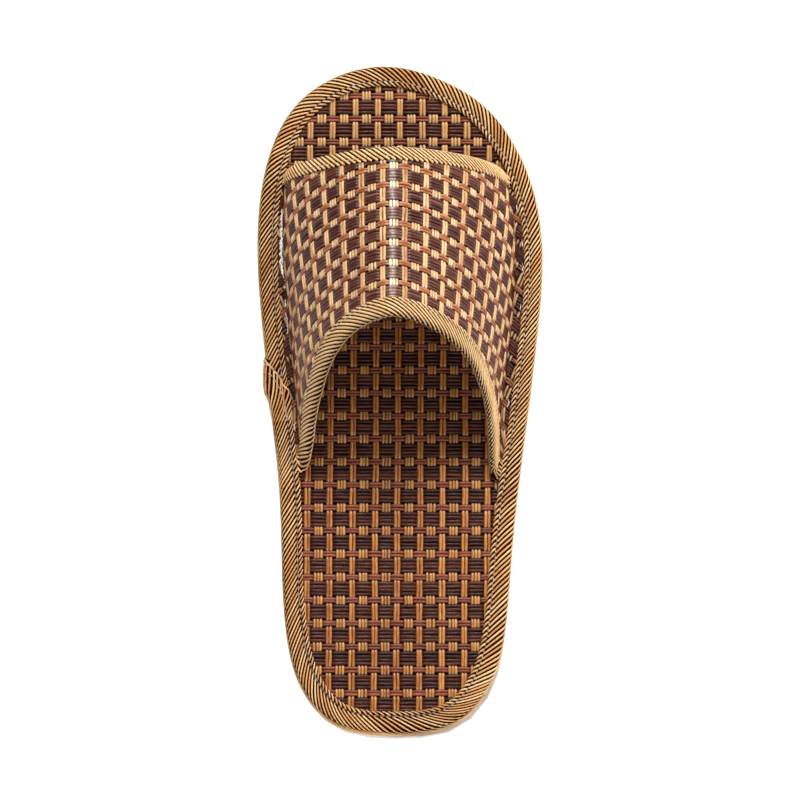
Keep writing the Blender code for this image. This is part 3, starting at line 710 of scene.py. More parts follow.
class VampForm:
    """The vamp's outer face, read by girth from the ridge and by station from toe to throat."""

    RIDGE_X = -3.0
    CREST_ANGLE = 17.0
    CREST_SHARE = 0.045
    GIRTH_REACH = 112.0
    GIRTH_STEP = 0.5
    FIRST_STATION = -26.0
    LAST_STATION = 119.0
    FLANGE_UNDER_TAPE = 3.6
    FLANGE_DRAG = 0.8
    WING_BULGE = 1.5

    def __init__(self, sole: SoleForm) -> None:
        """Work out a fine grid of the face.

        Args:
            sole: the sole that the vamp stands on.
        """
        self.sole = sole
        fine = sole.rim(720)
        self._edges = {
            side: (sole.side_edge(fine, side), sole.side_edge(sole.inset(fine, 10.0), side))
            for side in Side
        }
        self.girths = np.arange(-self.GIRTH_REACH, self.GIRTH_REACH + 0.01, self.GIRTH_STEP)
        self.stations = np.arange(self.FIRST_STATION, self.LAST_STATION + 0.01, 1.0)
        self.foot: dict[Side, Array] = {side: np.zeros(len(self.stations)) for side in Side}
        self.tip: dict[Side, Array] = {side: np.zeros(len(self.stations)) for side in Side}
        self.grid = np.stack([self._section(k) for k in range(len(self.stations))])
        back = np.gradient(self.grid, axis=0)
        across = np.gradient(self.grid, axis=1)
        self.normals = unit(np.cross(back, across))

    def _rim_offset(self, y: float, side: Side, inset: float) -> float:
        """Across position at an inset from the rim on one side."""
        rim, inner = (float(np.interp(y, *edge)) for edge in self._edges[side])
        return rim + (inner - rim) * inset / 10.0

    def _section(self, k: int) -> Array:
        """Points of one leaning cross-section at every girth of the grid."""
        row = [smooth_column(SECTIONS, column, self.stations[k]) for column in range(1, 8)]
        foot_y, rise, lean = row[0], row[1], math.radians(row[2])
        angles = {Side.MEDIAL: row[3], Side.LATERAL: row[4]}
        insets = {Side.MEDIAL: row[5], Side.LATERAL: row[6]}
        foot_z = float(self.sole.flange_top(foot_y))
        t = np.linspace(0, 1, 120)
        crest = self.CREST_ANGLE * (1 - np.exp(-t / self.CREST_SHARE))
        result = np.zeros((len(self.girths), 3))
        for side in Side:
            angle = np.radians(crest + (angles[side] - self.CREST_ANGLE) * t)
            across = np.concatenate([[0], np.cumsum(np.cos(angle[1:]) + np.cos(angle[:-1]))])
            down = np.concatenate([[0], np.cumsum(np.sin(angle[1:]) + np.sin(angle[:-1]))])
            foot_x = self._rim_offset(foot_y, side, insets[side])
            x = self.RIDGE_X + (foot_x - self.RIDGE_X) * across / across[-1]
            up = rise * (1 - down / down[-1])
            wall = np.stack([x, foot_y + up * math.sin(lean), foot_z + up * math.cos(lean)], 1)
            lengths = arc_lengths(wall)
            self.foot[side][k] = lengths[-1]
            self.tip[side][k] = lengths[-1] + insets[side] - self.FLANGE_UNDER_TAPE
            here = self.girths * side >= 0
            girth = np.abs(self.girths[here])
            points = np.stack([np.interp(girth, lengths, column) for column in wall.T], 1)
            beyond = np.clip(girth - lengths[-1], 0, None)
            bulge = self._bulge(self.stations[k], girth / lengths[-1], beyond)
            points[:, 0] += side * (beyond + bulge)
            points[:, 1] -= self.FLANGE_DRAG * beyond
            result[here] = points
        return result

    def _bulge(self, station: float, share: Array, beyond: Array) -> Array:
        """How far the wings beside the throat belly outwards."""
        wing = float(ease(station, 76.0, 96.0)) * ease(share, 0.3, 0.7)
        foot = (1 - 0.45 * ease(share, 0.85, 1.0)) * (1 - ease(beyond, 0.0, 4.0))
        return self.WING_BULGE * wing * foot

    def side_value(self, table: dict[Side, Array], girth: Array, station: Array) -> Array:
        """Read a table kept for both sides at stations, by the side of each girth."""
        medial = np.interp(station, self.stations, table[Side.MEDIAL])
        lateral = np.interp(station, self.stations, table[Side.LATERAL])
        return np.where(np.asarray(girth) < 0, medial, lateral)

    def _read(self, grid: Array, girth: Array, station: Array) -> Array:
        """Bilinear reading of a grid."""
        column = np.clip((girth - self.girths[0]) / self.GIRTH_STEP, 0, len(self.girths) - 1.001)
        row = np.clip(station - self.stations[0], 0, len(self.stations) - 1.001)
        i, j = row.astype(int), column.astype(int)
        return blend_cells(grid, (i, i + 1), j, (row - i)[..., None], (column - j)[..., None])

    def normal(self, girth: Array, station: Array) -> Array:
        """Outward normals of the face."""
        return unit(self._read(self.normals, girth, station))

    def place(self, girth: Array, station: Array, height: Array | float = 0.0) -> Array:
        """Points at a height over the face.

        Args:
            girth: distances from the ridge along the section, medial ones negative.
            station: distances along the ridge.
            height: distances from the face, outwards.

        Returns:
            The points, one for each girth.
        """
        girth, station = np.broadcast_arrays(np.asarray(girth, float), np.asarray(station, float))
        lift = np.broadcast_to(height, girth.shape)[..., None]
        return self._read(self.grid, girth, station) + self.normal(girth, station) * lift

    def edge_station(self, edge: CutEdge, share: float) -> float:
        """Station where a line at a share of the way from ridge to flange tip meets an edge."""
        side = Side.LATERAL if share >= 0 else Side.MEDIAL
        girth = abs(share) * self.tip[side] * side
        depth = edge.depth(self.place(girth, self.stations))
        if edge.sense > 0:
            return float(np.interp(0.0, depth[::-1], self.stations[::-1]))
        return float(np.interp(0.0, depth, self.stations))


# ------------------------------------------------------------------ strands by Geometry Nodes
@dataclass
class Line:
    """Centre line of a strand, rib or row of stitches.

    It has a tone, a radius, the way out of its surface, its level, from -1 under its neighbours
    to 1 over them, how much painted highlight is added to it and how deep it lies in painted shade.
    """

    points: Array
    tone: float = 0.5
    radius: float | Array = 0.6
    ups: Array | None = None
    level: Array | None = None
    added_glint: Array | float = 0.0
    shade: Array | float = 0.0

    COLUMNS: ClassVar[tuple[str, ...]] = ("run", "tone", "half_width", "up", "level", "glint")

    def columns(self) -> tuple[Array, ...]:
        """Values of the named columns at each point; the half width is in metres."""
        size = len(self.points)
        ups = np.tile((0.0, 0.0, 1.0), (size, 1)) if self.ups is None else self.ups
        level = np.ones(size) if self.level is None else self.level
        radius = np.broadcast_to(np.asarray(self.radius) * MM, size)
        # Painted highlight on bends and wherever it is added, less where painted shade lies.
        glint = (1 - level**2) * (1 - self.shade) + self.added_glint
        depth = level - self.shade
        return arc_lengths(self.points), np.full(size, self.tone), radius, ups, depth, glint


class NodeTool:
    """A Geometry Nodes tree that turns centre lines into a finished mesh."""

    def __init__(self, name: str, inputs: Sequence[tuple[str, str, object]]) -> None:
        """Start the tree.

        Args:
            name: the tree's name.
            inputs: name, socket type and default of each input after the geometry.
        """
        self.group = bpy.data.node_groups.new(name, "GeometryNodeTree")
        interface = self.group.interface
        interface.new_socket("Geometry", in_out="INPUT", socket_type="NodeSocketGeometry")
        for label, kind, default in inputs:
            socket = interface.new_socket(label, in_out="INPUT", socket_type=kind)
            if default is not None:
                socket.default_value = default
        interface.new_socket("Geometry", in_out="OUTPUT", socket_type="NodeSocketGeometry")
        self.given = self.group.nodes.new("NodeGroupInput")
        self.result = self.group.nodes.new("NodeGroupOutput")

    def add(
        self, kind: str, settings: dict[str, object] | None = None,
        inputs: dict[str | int, object] | None = None,
    ) -> bpy.types.Node:
        """Add one node to this tool's tree."""
        return add_node(self.group, kind, settings, inputs)

    def end(self, geometry: Socket) -> None:
        """Realize the instances, set the material and close the tree."""
        real = self.add("GeometryNodeRealizeInstances", inputs={"Geometry": geometry})
        dressed = self.add(
            "GeometryNodeSetMaterial",
            inputs={
                "Geometry": real.outputs["Geometry"], "Material": self.given.outputs["Material"]
            },
        )
        self.group.links.new(dressed.outputs["Geometry"], self.result.inputs["Geometry"])

    def run(self, name: str, lines: Sequence[Line], values: dict[str, object]) -> Object:
        """Make a plain mesh object from centre lines.

        Args:
            name: the object's name.
            lines: the centre lines, in millimetres.
            values: the tree's inputs by name.

        Returns:
            The object, with no modifier left on it.
        """
        mesh = bpy.data.meshes.new(name + "_lines")
        points = np.concatenate([line.points for line in lines])
        sizes = [len(line.points) for line in lines]
        starts = np.concatenate([[0], np.cumsum(sizes)[:-1]])
        edges = [np.stack([np.arange(a, a + n - 1)] * 2, 1) + (0, 1) for a, n in zip(starts, sizes)]
        mesh.from_pydata((points * MM).tolist(), np.concatenate(edges).tolist(), [])
        columns = map(np.concatenate, zip(*(line.columns() for line in lines)))
        for label, column in zip(Line.COLUMNS, columns):
            flat = column.ndim == 1
            kind, field_name = ("FLOAT", "value") if flat else ("FLOAT_VECTOR", "vector")
            attribute = mesh.attributes.new(label, kind, "POINT")
            attribute.data.foreach_set(field_name, column.astype(np.float32).ravel())
        obj = bpy.data.objects.new(name, mesh)
        bpy.context.scene.collection.objects.link(obj)
        modifier = obj.modifiers.new(self.group.name, "NODES")
        modifier.node_group = self.group
        for item in self.group.interface.items_tree:
            if item.in_out == "INPUT" and item.name in values:
                modifier[item.identifier] = values[item.name]
        graph = bpy.context.evaluated_depsgraph_get()
        made = bpy.data.meshes.new_from_object(obj.evaluated_get(graph), depsgraph=graph)
        obj.modifiers.clear()
        obj.data = made
        made.name = name
        bpy.data.meshes.remove(mesh)
        return obj


class StrandTool(NodeTool):
    """Lays a slightly flat and uneven strand along every line."""

    def __init__(self) -> None:
        """Build the tree."""
        super().__init__(
            "lay_strands",
            [
                ("Sides", "NodeSocketInt", 6), ("Flatness", "NodeSocketFloat", 1.0),
                ("Swing", "NodeSocketFloat", 0.0), ("Reach", "NodeSocketFloat", 0.001),
                ("Unevenness", "NodeSocketFloat", 0.1), ("Seed", "NodeSocketFloat", 0.0),
                ("Material", "NodeSocketMaterial", None),
            ],
        )
        given = self.given.outputs
        run, tone, radius, level = (
            self._read(name) for name in ("run", "tone", "half_width", "level")
        )
        swept = self._sweep(self._uneven_radius(run, tone, radius))
        split = self.add("ShaderNodeSeparateXYZ", inputs={"Vector": self._read("around", 3)})
        grain = self.add(
            "ShaderNodeCombineXYZ",
            inputs={"X": run, "Y": split.outputs["X"], "Z": split.outputs["Y"]},
        )
        # The profile's own X points out of the weave, so it says how high each side lies.
        upwards = self._math("MULTIPLY", split.outputs["X"], given["Flatness"])
        rise = self._math("MULTIPLY", upwards, radius)
        height = self._math("MULTIPLY_ADD", level, given["Swing"], rise)
        twice = self._math("MULTIPLY", given["Reach"], 2.0)
        share = self._math("DIVIDE", height, twice)
        # Low places get a low cavity value, which the paper finish darkens as painted shade.
        cavity = self._math("ADD", share, 0.5)
        geometry = self._store(swept, "grain", grain.outputs["Vector"], "FLOAT_VECTOR")
        geometry = self._store(geometry, "cavity", cavity, "FLOAT")
        for name in ("around", "level", "half_width", "run", "up"):
            gone = self.add(
                "GeometryNodeRemoveAttribute", inputs={"Geometry": geometry, "Name": name}
            )
            geometry = gone.outputs["Geometry"]
        smooth = self.add("GeometryNodeSetShadeSmooth", inputs={"Geometry": geometry})
        self.end(smooth.outputs["Geometry"])

    def _read(self, name: str, size: int = 1) -> Socket:
        """Read a named attribute of one or three numbers."""
        kind = "FLOAT" if size == 1 else "FLOAT_VECTOR"
        node = self.add("GeometryNodeInputNamedAttribute", {"data_type": kind}, {"Name": name})
        return node.outputs["Attribute"]

    def _store(self, geometry: Socket, name: str, value: Socket, kind: str) -> Socket:
        """Store a named attribute on points."""
        node = self.add(
            "GeometryNodeStoreNamedAttribute", {"data_type": kind, "domain": "POINT"},
            {"Geometry": geometry, "Name": name, "Value": value},
        )
        return node.outputs["Geometry"]

    def _math(self, operation: str, *values: Socket | float) -> Socket:
        """Do one sum."""
        return add_math(self.group, operation, *values)

    def _uneven_radius(self, run: Socket, tone: Socket, radius: Socket) -> Socket:
        """Radius that wanders over a few millimetres and differs from strand to strand."""
        own = self._math("MULTIPLY_ADD", tone, 811.0, self.given.outputs["Seed"])
        spot = self.add("ShaderNodeCombineXYZ", inputs={"X": run, "Y": own})
        wander = self.add(
            "ShaderNodeTexNoise",
            inputs={"Vector": spot.outputs["Vector"], "Scale": 0.3, "Detail": 1.0},
        )
        swing = self._math("MULTIPLY_ADD", wander.outputs["Fac"], 2.0, -1.0)
        factor = self._math("MULTIPLY_ADD", swing, self.given.outputs["Unevenness"], 1.0)
        return self._math("MULTIPLY", factor, radius)

    def _sweep(self, scale: Socket) -> Socket:
        """Sweep the flattened round along the lines, flat side out of the surface."""
        given = self.given.outputs
        curve = self.add("GeometryNodeMeshToCurve", inputs={"Mesh": given["Geometry"]})
        facing = self.add(
            "GeometryNodeSetCurveNormal", {"mode": "FREE"},
            {"Curve": curve.outputs["Curve"], "Normal": self._read("up", 3)},
        )
        profile = self.add(
            "GeometryNodeCurvePrimitiveCircle",
            inputs={"Resolution": given["Sides"], "Radius": 1.0},
        )
        place = self.add("GeometryNodeInputPosition")
        marked = self._store(
            profile.outputs["Curve"], "around", place.outputs["Position"], "FLOAT_VECTOR"
        )
        size = self.add(
            "ShaderNodeCombineXYZ", inputs={"X": given["Flatness"], "Y": 1.0, "Z": 1.0}
        )
        flat = self.add(
            "GeometryNodeTransform", inputs={"Geometry": marked, "Scale": size.outputs["Vector"]}
        )
        swept = self.add(
            "GeometryNodeCurveToMesh",
            inputs={
                "Curve": facing.outputs["Curve"], "Profile Curve": flat.outputs["Geometry"],
                "Scale": scale, "Fill Caps": True,
            },
        )
        return swept.outputs["Mesh"]

    def lay(
        self, name: str, lines: Sequence[Line], material: Material, sides: int = 6,
        flatness: float = 1.0, swing: float = 0.0, reach: float = 0.5, unevenness: float = 0.1,
    ) -> Object:
        """Lay strands along lines.

        Args:
            name: the object's name.
            lines: the centre lines, in millimetres.
            material: the strands' finish.
            sides: sides of each strand's round.
            flatness: its height as a share of its width.
            swing: how far a strand moves up and down through the weave.
            reach: height of its top over the middle of the weave.
            unevenness: how much its thickness varies, as a share.

        Returns:
            The finished object.
        """
        values = {
            "Sides": sides, "Flatness": flatness, "Swing": swing * MM, "Reach": reach * MM,
            "Unevenness": unevenness, "Seed": 3.0, "Material": material,
        }
        return self.run(name, lines, values)


class StitchTool(NodeTool):
    """Sets thread stitches end to end along every line."""

    def __init__(self) -> None:
        """Build the tree."""
        super().__init__(
            "sew_stitches",
            [
                ("Spacing", "NodeSocketFloat", 0.003), ("Length", "NodeSocketFloat", 0.0025),
                ("Thickness", "NodeSocketFloat", 0.0005), ("Material", "NodeSocketMaterial", None),
            ],
        )
        curve = self.add(
            "GeometryNodeMeshToCurve", inputs={"Mesh": self.given.outputs["Geometry"]}
        )
        dots = self.add(
            "GeometryNodeCurveToPoints", {"mode": "LENGTH"},
            {"Curve": curve.outputs["Curve"], "Length": self.given.outputs["Spacing"]},
        )
        stitch = self.add(
            "GeometryNodeMeshUVSphere", inputs={"Segments": 7, "Rings": 6, "Radius": 0.5}
        )
        turned = self.add(
            "FunctionNodeAlignRotationToVector", {"axis": "X"}, {"Vector": dots.outputs["Tangent"]}
        )
        size = self.add(
            "ShaderNodeCombineXYZ",
            inputs={
                "X": self.given.outputs["Length"], "Y": self.given.outputs["Thickness"],
                "Z": self.given.outputs["Thickness"],
            },
        )
        placed = self.add(
            "GeometryNodeInstanceOnPoints",
            inputs={
                "Points": dots.outputs["Points"], "Instance": stitch.outputs["Mesh"],
                "Rotation": turned.outputs["Rotation"], "Scale": size.outputs["Vector"],
            },
        )
        smooth = self.add(
            "GeometryNodeSetShadeSmooth", inputs={"Geometry": placed.outputs["Instances"]}
        )
        self.end(smooth.outputs["Geometry"])

    def sew(
        self, name: str, lines: Sequence[Line], material: Material, spacing: float = 2.9,
        length: float = 2.7, thickness: float = 0.55,
    ) -> Object:
        """Sew stitches along lines.

        Args:
            name: the object's name.
            lines: the seam lines, in millimetres.
            material: the thread's finish.
            spacing: distance between stitches.
            length: length of one stitch.
            thickness: thickness of the thread.

        Returns:
            The finished object.
        """
        values = {
            "Spacing": spacing * MM, "Length": length * MM, "Thickness": thickness * MM,
            "Material": material,
        }
        return self.run(name, lines, values)


# ------------------------------------------------------------------ the weave
@dataclass(frozen=True)
class Yarn:
    """One kind of strand group: its strands' places, their radius and how far a float reaches."""

    places: tuple[float, ...]
    radius: float
    over: float


@dataclass(frozen=True)
class Weave:
    """Plain weave of paired and triple tan warps with broad dark and narrow rust wefts.

    Warps run along the slipper and wefts across it.  Pairs pass over dark wefts and triples pass
    over rust ones.
    """

    triple_centre: float
    dark_centre: float
    warp_pitch: float = 9.1
    weft_pitch: float = 9.5
    middle: float = -0.35
    swing: float = 0.5
    step: float = 0.75
    flatness: float = 0.85
    crossing: float = 1.6
    seed: int = 11

    PAIR = Yarn((-0.64, 0.64), 0.66, 3.4)
    TRIPLE = Yarn((-1.24, 0.0, 1.24), 0.64, 1.75)
    DARK = Yarn((-2.22, -0.74, 0.74, 2.22), 0.73, 3.2)
    RUST = Yarn((-0.62, 0.62), 0.64, 2.6)

    def wave(self, position: Array, centre: float, pitch: float, over: float) -> Array:
        """Height of a strand between -1 under and 1 over, which it is within `over` of a centre."""
        turn = 2 * math.pi / pitch
        rise = np.cos(turn * (position - centre)) - math.cos(turn * over)
        steepness = self.crossing / (turn * math.sin(turn * over))
        return np.tanh(steepness * rise)

    def strands(
        self, ranges: tuple[float, float], limits: tuple[float, float], warps: bool, broad: bool,
        lay: Callable[[Array, Array, Array], tuple[Array, Array, Array]],
    ) -> list[Line]:
        """Centre lines of one kind of strand.

        Args:
            ranges: where the strands of this kind start and end, across their length.
            limits: how far each strand runs, along its length.
            warps: warps along the slipper, or wefts across it.
            broad: triples or dark wefts, or else pairs or rust wefts.
            lay: gives the points, their outward directions and which to keep, from girth,
                station and wave height.

        Returns:
            The lines, cut where a strand isn't kept.
        """
        pitch, other = self.warp_pitch, self.weft_pitch
        centre, crossing = self.triple_centre, self.dark_centre
        yarn = self.TRIPLE if broad else self.PAIR
        if warps and broad:
            crossing += other / 2
        if not warps:
            pitch, other, centre, crossing = other, pitch, crossing, centre
            yarn = self.DARK if broad else self.RUST
            if not broad:
                crossing += other / 2
        if not broad:
            centre += pitch / 2
        draws = np.random.default_rng(self.seed + 2 * warps + broad)
        along = np.arange(limits[0], limits[1], self.step)
        lines = []
        first = math.floor((ranges[0] - centre) / pitch)
        last = math.ceil((ranges[1] - centre) / pitch)
        for k in range(first, last + 1):
            sway = draws.uniform(-0.12, 0.12)
            for place in yarn.places:
                across = centre + k * pitch + place + sway + self._waver(draws, along)
                level = self.wave(along, crossing, other, yarn.over)
                rise = level + draws.uniform(-0.1, 0.06) + 0.06 * self._waver(draws, along) / 0.1
                tone = draws.random()
                pair = (across, along) if warps else (along, across)
                points, ups, kept = lay(*pair, rise)
                lines.extend(self._cut(points, ups, level, kept, tone, yarn.radius))
        return lines

    def groups(
        self, across: tuple[float, float], along: tuple[float, float],
        lay: Callable[[Array, Array, Array], tuple[Array, Array, Array]],
    ) -> tuple[list[Line], list[Line], list[Line]]:
        """Tan warps, dark wefts and rust wefts over ranges across and along the slipper."""
        narrow, wide = (self.strands(across, along, True, broad, lay) for broad in (False, True))
        dark, rust = (self.strands(along, across, False, broad, lay) for broad in (True, False))
        return narrow + wide, dark, rust

    def _waver(self, draws: np.random.Generator, along: Array) -> Array:
        """How far a strand strays from its straight line, by about a tenth of a millimetre."""
        long = np.sin(along / draws.uniform(6, 14) + draws.uniform(0, 6.3))
        short = np.sin(along / draws.uniform(1.5, 3) + draws.uniform(0, 6.3))
        return 0.1 * long + 0.05 * short

    def _cut(
        self, points: Array, ups: Array, level: Array, kept: Array, tone: float, radius: float
    ) -> list[Line]:
        """Split a strand into the stretches that are kept."""
        lines = []
        edges = np.flatnonzero(np.diff(np.concatenate([[0], kept.astype(int), [0]])))
        for start, end in zip(edges[::2], edges[1::2]):
            if end - start >= 4:
                part = slice(start, end)
                lines.append(Line(points[part], tone, radius, ups[part], level[part]))
        return lines


# ------------------------------------------------------------------ dressed pieces
@dataclass
class Workshop:
    """What every sub-assembly needs: its forms, finishes and node tools."""

    sole: SoleForm
    vamp: VampForm
    finishes: Finishes
    strands: StrandTool
    stitches: StitchTool

    def dress(self, piece: Object, slot: Slot, *nodes: str) -> Object:
        """Fix a piece to the slipper's body and hide the model's solids that it stands for."""
        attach(piece, BODY)
        if nodes:
            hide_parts(*nodes)
        faces = sum(len(polygon.vertices) - 2 for polygon in piece.data.polygons)
        log.info("%s: %d triangles", piece.name, faces)
        return piece

    def weave_strands(
        self, name: str, lines: Sequence[Line], material: Material, weave: Weave, sides: int
    ) -> Object:
        """Lay one colour of a weave's strands."""
        reach = weave.swing + weave.PAIR.radius * weave.flatness
        return self.strands.lay(name, lines, material, sides, weave.flatness, weave.swing, reach)


@dataclass
class Outsole:
    """Moulded foam outsole, with the model's own solid."""

    shop: Workshop
    node: Object

    def build(self) -> None:
        """Give the solid its foam skin."""
        self.node.data.materials.clear()
        self.node.data.materials.append(self.shop.finishes.foam)
        log.info("outsole: dressed solid")


@dataclass
class Insole:
    """Flat woven insole on its board."""

    shop: Workshop
    weave: Weave = Weave(
        triple_centre=-5.27, dark_centre=-78.13, warp_pitch=9.04, weft_pitch=9.524, middle=-0.8,
        swing=0.45, seed=23,
    )
    warp_drift: float = 0.0064
    weft_lag: float = 0.005
    lag_from: float = -50.0
    core_top: float = -1.9
    core_side: float = 1.3
    mat_inset: float = 2.6
    # Painted light: how much paler the toe end of the mat is drawn.
    toe_light: float = 0.9
    stations: int = 180

    ACROSS: ClassVar[tuple[float, float]] = (-58.0, 58.0)
    ALONG: ClassVar[tuple[float, float]] = (-138.0, 138.0)
    # Inset of the board's narrower foot, and how high over the bed it steps out.
    FOOT_TUCK: ClassVar[float] = 4.7
    FOOT_HEIGHT: ClassVar[float] = 1.5

    def build(self) -> None:
        """Build the board and the mat."""
        self._build_core()
        self._build_mat()

    def _build_core(self) -> None:
        """Foam board under the mat, with softened edges."""
        sole = self.shop.sole
        rim = sole.rim(self.stations)
        rings = []
        tuck, bottom = self.FOOT_TUCK, self.FOOT_HEIGHT
        for inset, height in (
            (tuck, lambda y: sole.bed(y) + sole.gap), (tuck, lambda y: sole.bed(y) + bottom),
            (self.core_side, lambda y: sole.bed(y) + bottom),
            (self.core_side, lambda y: sole.insole_top(y) + self.core_top - 0.5),
            (self.core_side + 0.5, lambda y: sole.insole_top(y) + self.core_top),
        ):
            ring = sole.inset(rim, inset)
            rings.append(np.column_stack([ring, height(ring[:, 1])]))
        size = self.stations
        faces = []
        for base in range(0, (len(rings) - 1) * size, size):
            for i in range(base, base + size):
                j = base + (i + 1 - base) % size
                faces.append((i, j, size + j, size + i))
        for base in (0, (len(rings) - 1) * size):
            for i in range(size // 2):
                left = (size - i) % size
                quad = (base + i, base + i + 1, base + size - i - 1, base + left)
                faces.append(tuple(dict.fromkeys(quad)))
        core = make_mesh_object(
            "insole_core", np.concatenate(rings), faces, [self.shop.finishes.scrim_and_gap_shade]
        )
        self.shop.dress(core, Slot.INSOLE, "insole")

    def _lay(self, x: Array, y: Array, rise: Array) -> tuple[Array, Array, Array]:
        """Place mat strands on the insole and keep what lies inside the rim."""
        y = y - self.weft_lag * np.clip(y - self.lag_from, 0, None)
        x, y = np.broadcast_arrays(x + self.warp_drift * y, y)
        inset = np.minimum(x - self._left(y), self._right(y) - x)
        weave = self.weave
        free = 0.45 + 0.55 * ease(inset, 2.5, 6.0)
        height = weave.middle + weave.swing * rise * free
        points = np.stack([x, y, self.shop.sole.insole_top(y) + height], 1)
        return points, np.tile((0.0, 0.0, 1.0), (len(points), 1)), inset > 0

    def _build_mat(self) -> None:
        """Weave the mat strand by strand."""
        sole = self.shop.sole
        edge = sole.inset(sole.rim(720), self.mat_inset)
        left, right = sole.side_edge(edge, Side.MEDIAL), sole.side_edge(edge, Side.LATERAL)
        self._left = lambda y: np.interp(y, *left, left=999, right=999)
        self._right = lambda y: np.interp(y, *right, left=-999, right=-999)
        finishes = self.shop.finishes
        tan, dark, rust = self.weave.groups(self.ACROSS, self.ALONG, self._lay)
        for name, lines, material in (
            ("insole_mat_warps", tan, finishes.insole_tan),
            ("insole_mat_wefts_dark", dark, finishes.insole_dark),
            ("insole_mat_wefts_rust", rust, finishes.insole_red),
        ):
            for line in lines:
                # Painted light: the mat turns towards its pale tip colour at the toe end.
                line.added_glint = self.toe_light * ease(line.points[:, 1], 86.0, 100.0)
            piece = self.shop.weave_strands(name, lines, material, self.weave, 5)
            self.shop.dress(piece, Slot.INSOLE, "insole")


@dataclass
class Vamp:
    """Woven vamp on its cotton lining, open at toe and throat."""

    shop: Workshop
    weave: Weave = Weave(triple_centre=0.5, dark_centre=14.65, seed=7)
    edge_cover: float = 1.3
    # Painted highlight along the ridge: its strength and its half width.
    ridge_glint: float = 4.2
    ridge_glint_half: float = 1.05
    crease_shade: float = 0.85
    lining_outer: float = -1.42
    lining_inner: float = -1.7
    lining_columns: int = 97
    lining_rows: int = 60

    GIRTHS: ClassVar[tuple[float, float]] = (-108.0, 108.0)
    STATIONS: ClassVar[tuple[float, float]] = (-24.0, 117.0)
    # The lining's blank in metres, and the area that is left when it is cut, in square metres.
    BLANK: ClassVar[tuple[float, float]] = (0.205, 0.135)
    CUT_AREA: ClassVar[float] = 0.0192

    def build(self) -> None:
        """Build the lining and weave the strands over it."""
        lining = self._build_lining()
        strands = self._build_weave()

    def _lay(self, girth: Array, station: Array, rise: Array) -> tuple[Array, Array, Array]:
        """Place strands on the vamp and keep what lies inside its edges."""
        girth, station = np.broadcast_arrays(girth, station)
        form = self.shop.vamp
        foot = form.side_value(form.foot, girth, station)
        tip = form.side_value(form.tip, girth, station)
        base = form.place(girth, station)
        ups = form.normal(girth, station)
        inside = np.minimum(TOE_EDGE.depth(base), THROAT_EDGE.depth(base))
        pressed = ease(np.abs(girth) - foot, 0.5, 3.8)
        bound = 1 - ease(inside, 3.0, 8.0)
        weave = self.weave
        swing = weave.swing * (1 - 0.5 * pressed) * (1 - 0.35 * bound)
        height = weave.middle - 0.25 * pressed - 0.08 * bound + swing * rise
        kept = (inside > self.edge_cover) & (np.abs(girth) < tip - 0.4)
        kept &= (station > form.FIRST_STATION + 1) & (station < form.LAST_STATION - 1)
        return base + ups * height[:, None], ups, kept

    def _build_weave(self) -> list[Object]:
        """Weave the vamp strand by strand."""
        finishes = self.shop.finishes
        tan, dark, rust = self.weave.groups(self.GIRTHS, self.STATIONS, self._lay)
        pieces = []
        draws = np.random.default_rng(self.weave.seed)
        for name, lines, material in (
            ("vamp_warps", tan, finishes.vamp_tan), ("vamp_wefts_dark", dark, finishes.vamp_dark),
            ("vamp_wefts_rust", rust, finishes.vamp_red),
        ):
            for line in lines:
                # Painted highlight along the ridge, broken at random, and painted shade low in the
                # crease.
                beside = (line.points[:, 0] - self.shop.vamp.RIDGE_X) / self.ridge_glint_half
                breaks = draws.uniform(0.3, 1.0, len(beside))
                glint_mask = np.exp(-(beside**2)) * breaks + 0.09 * np.exp(-(beside**2) / 9)
                line.added_glint = self.ridge_glint * glint_mask
                above = line.points[:, 2] - self.shop.sole.insole_top(line.points[:, 1])
                line.shade = self.crease_shade * (1 - ease(above, 1.5, 7.0))
            piece = self.shop.weave_strands(name, lines, material, self.weave, 6)
            pieces.append(self.shop.dress(piece, Slot.UPPER, "upper"))
        return pieces

    def _build_lining(self) -> Object:
        """Thin lining bonded to a dark scrim, cut to the vamp's edges."""
        form = self.shop.vamp
        columns = []
        for share in np.linspace(-1, 1, self.lining_columns):
            low = form.edge_station(TOE_EDGE, share) + self.edge_cover
            high = form.edge_station(THROAT_EDGE, share) - self.edge_cover
            station = np.linspace(low, high, self.lining_rows)
            tip = form.side_value(form.tip, share, station)
            columns.append((abs(share) * tip * (1 if share >= 0 else -1), station))
        girth = np.stack([column[0] for column in columns])
        station = np.stack([column[1] for column in columns])
        outer = form.place(girth, station, self.lining_outer).reshape(-1, 3)
        inner = form.place(girth, station, self.lining_inner).reshape(-1, 3)
        faces = shell_faces(self.lining_columns, self.lining_rows, closed=False)
        cells = (self.lining_columns - 1) * (self.lining_rows - 1)
        slots = [0] * cells + [1] * (len(faces) - cells)
        finishes = self.shop.finishes
        lining = make_mesh_object(
            "vamp_lining", np.concatenate([outer, inner]), faces,
            [finishes.scrim_and_gap_shade, finishes.lining], slots,
        )
        return self.shop.dress(lining, Slot.UPPER, "upper")


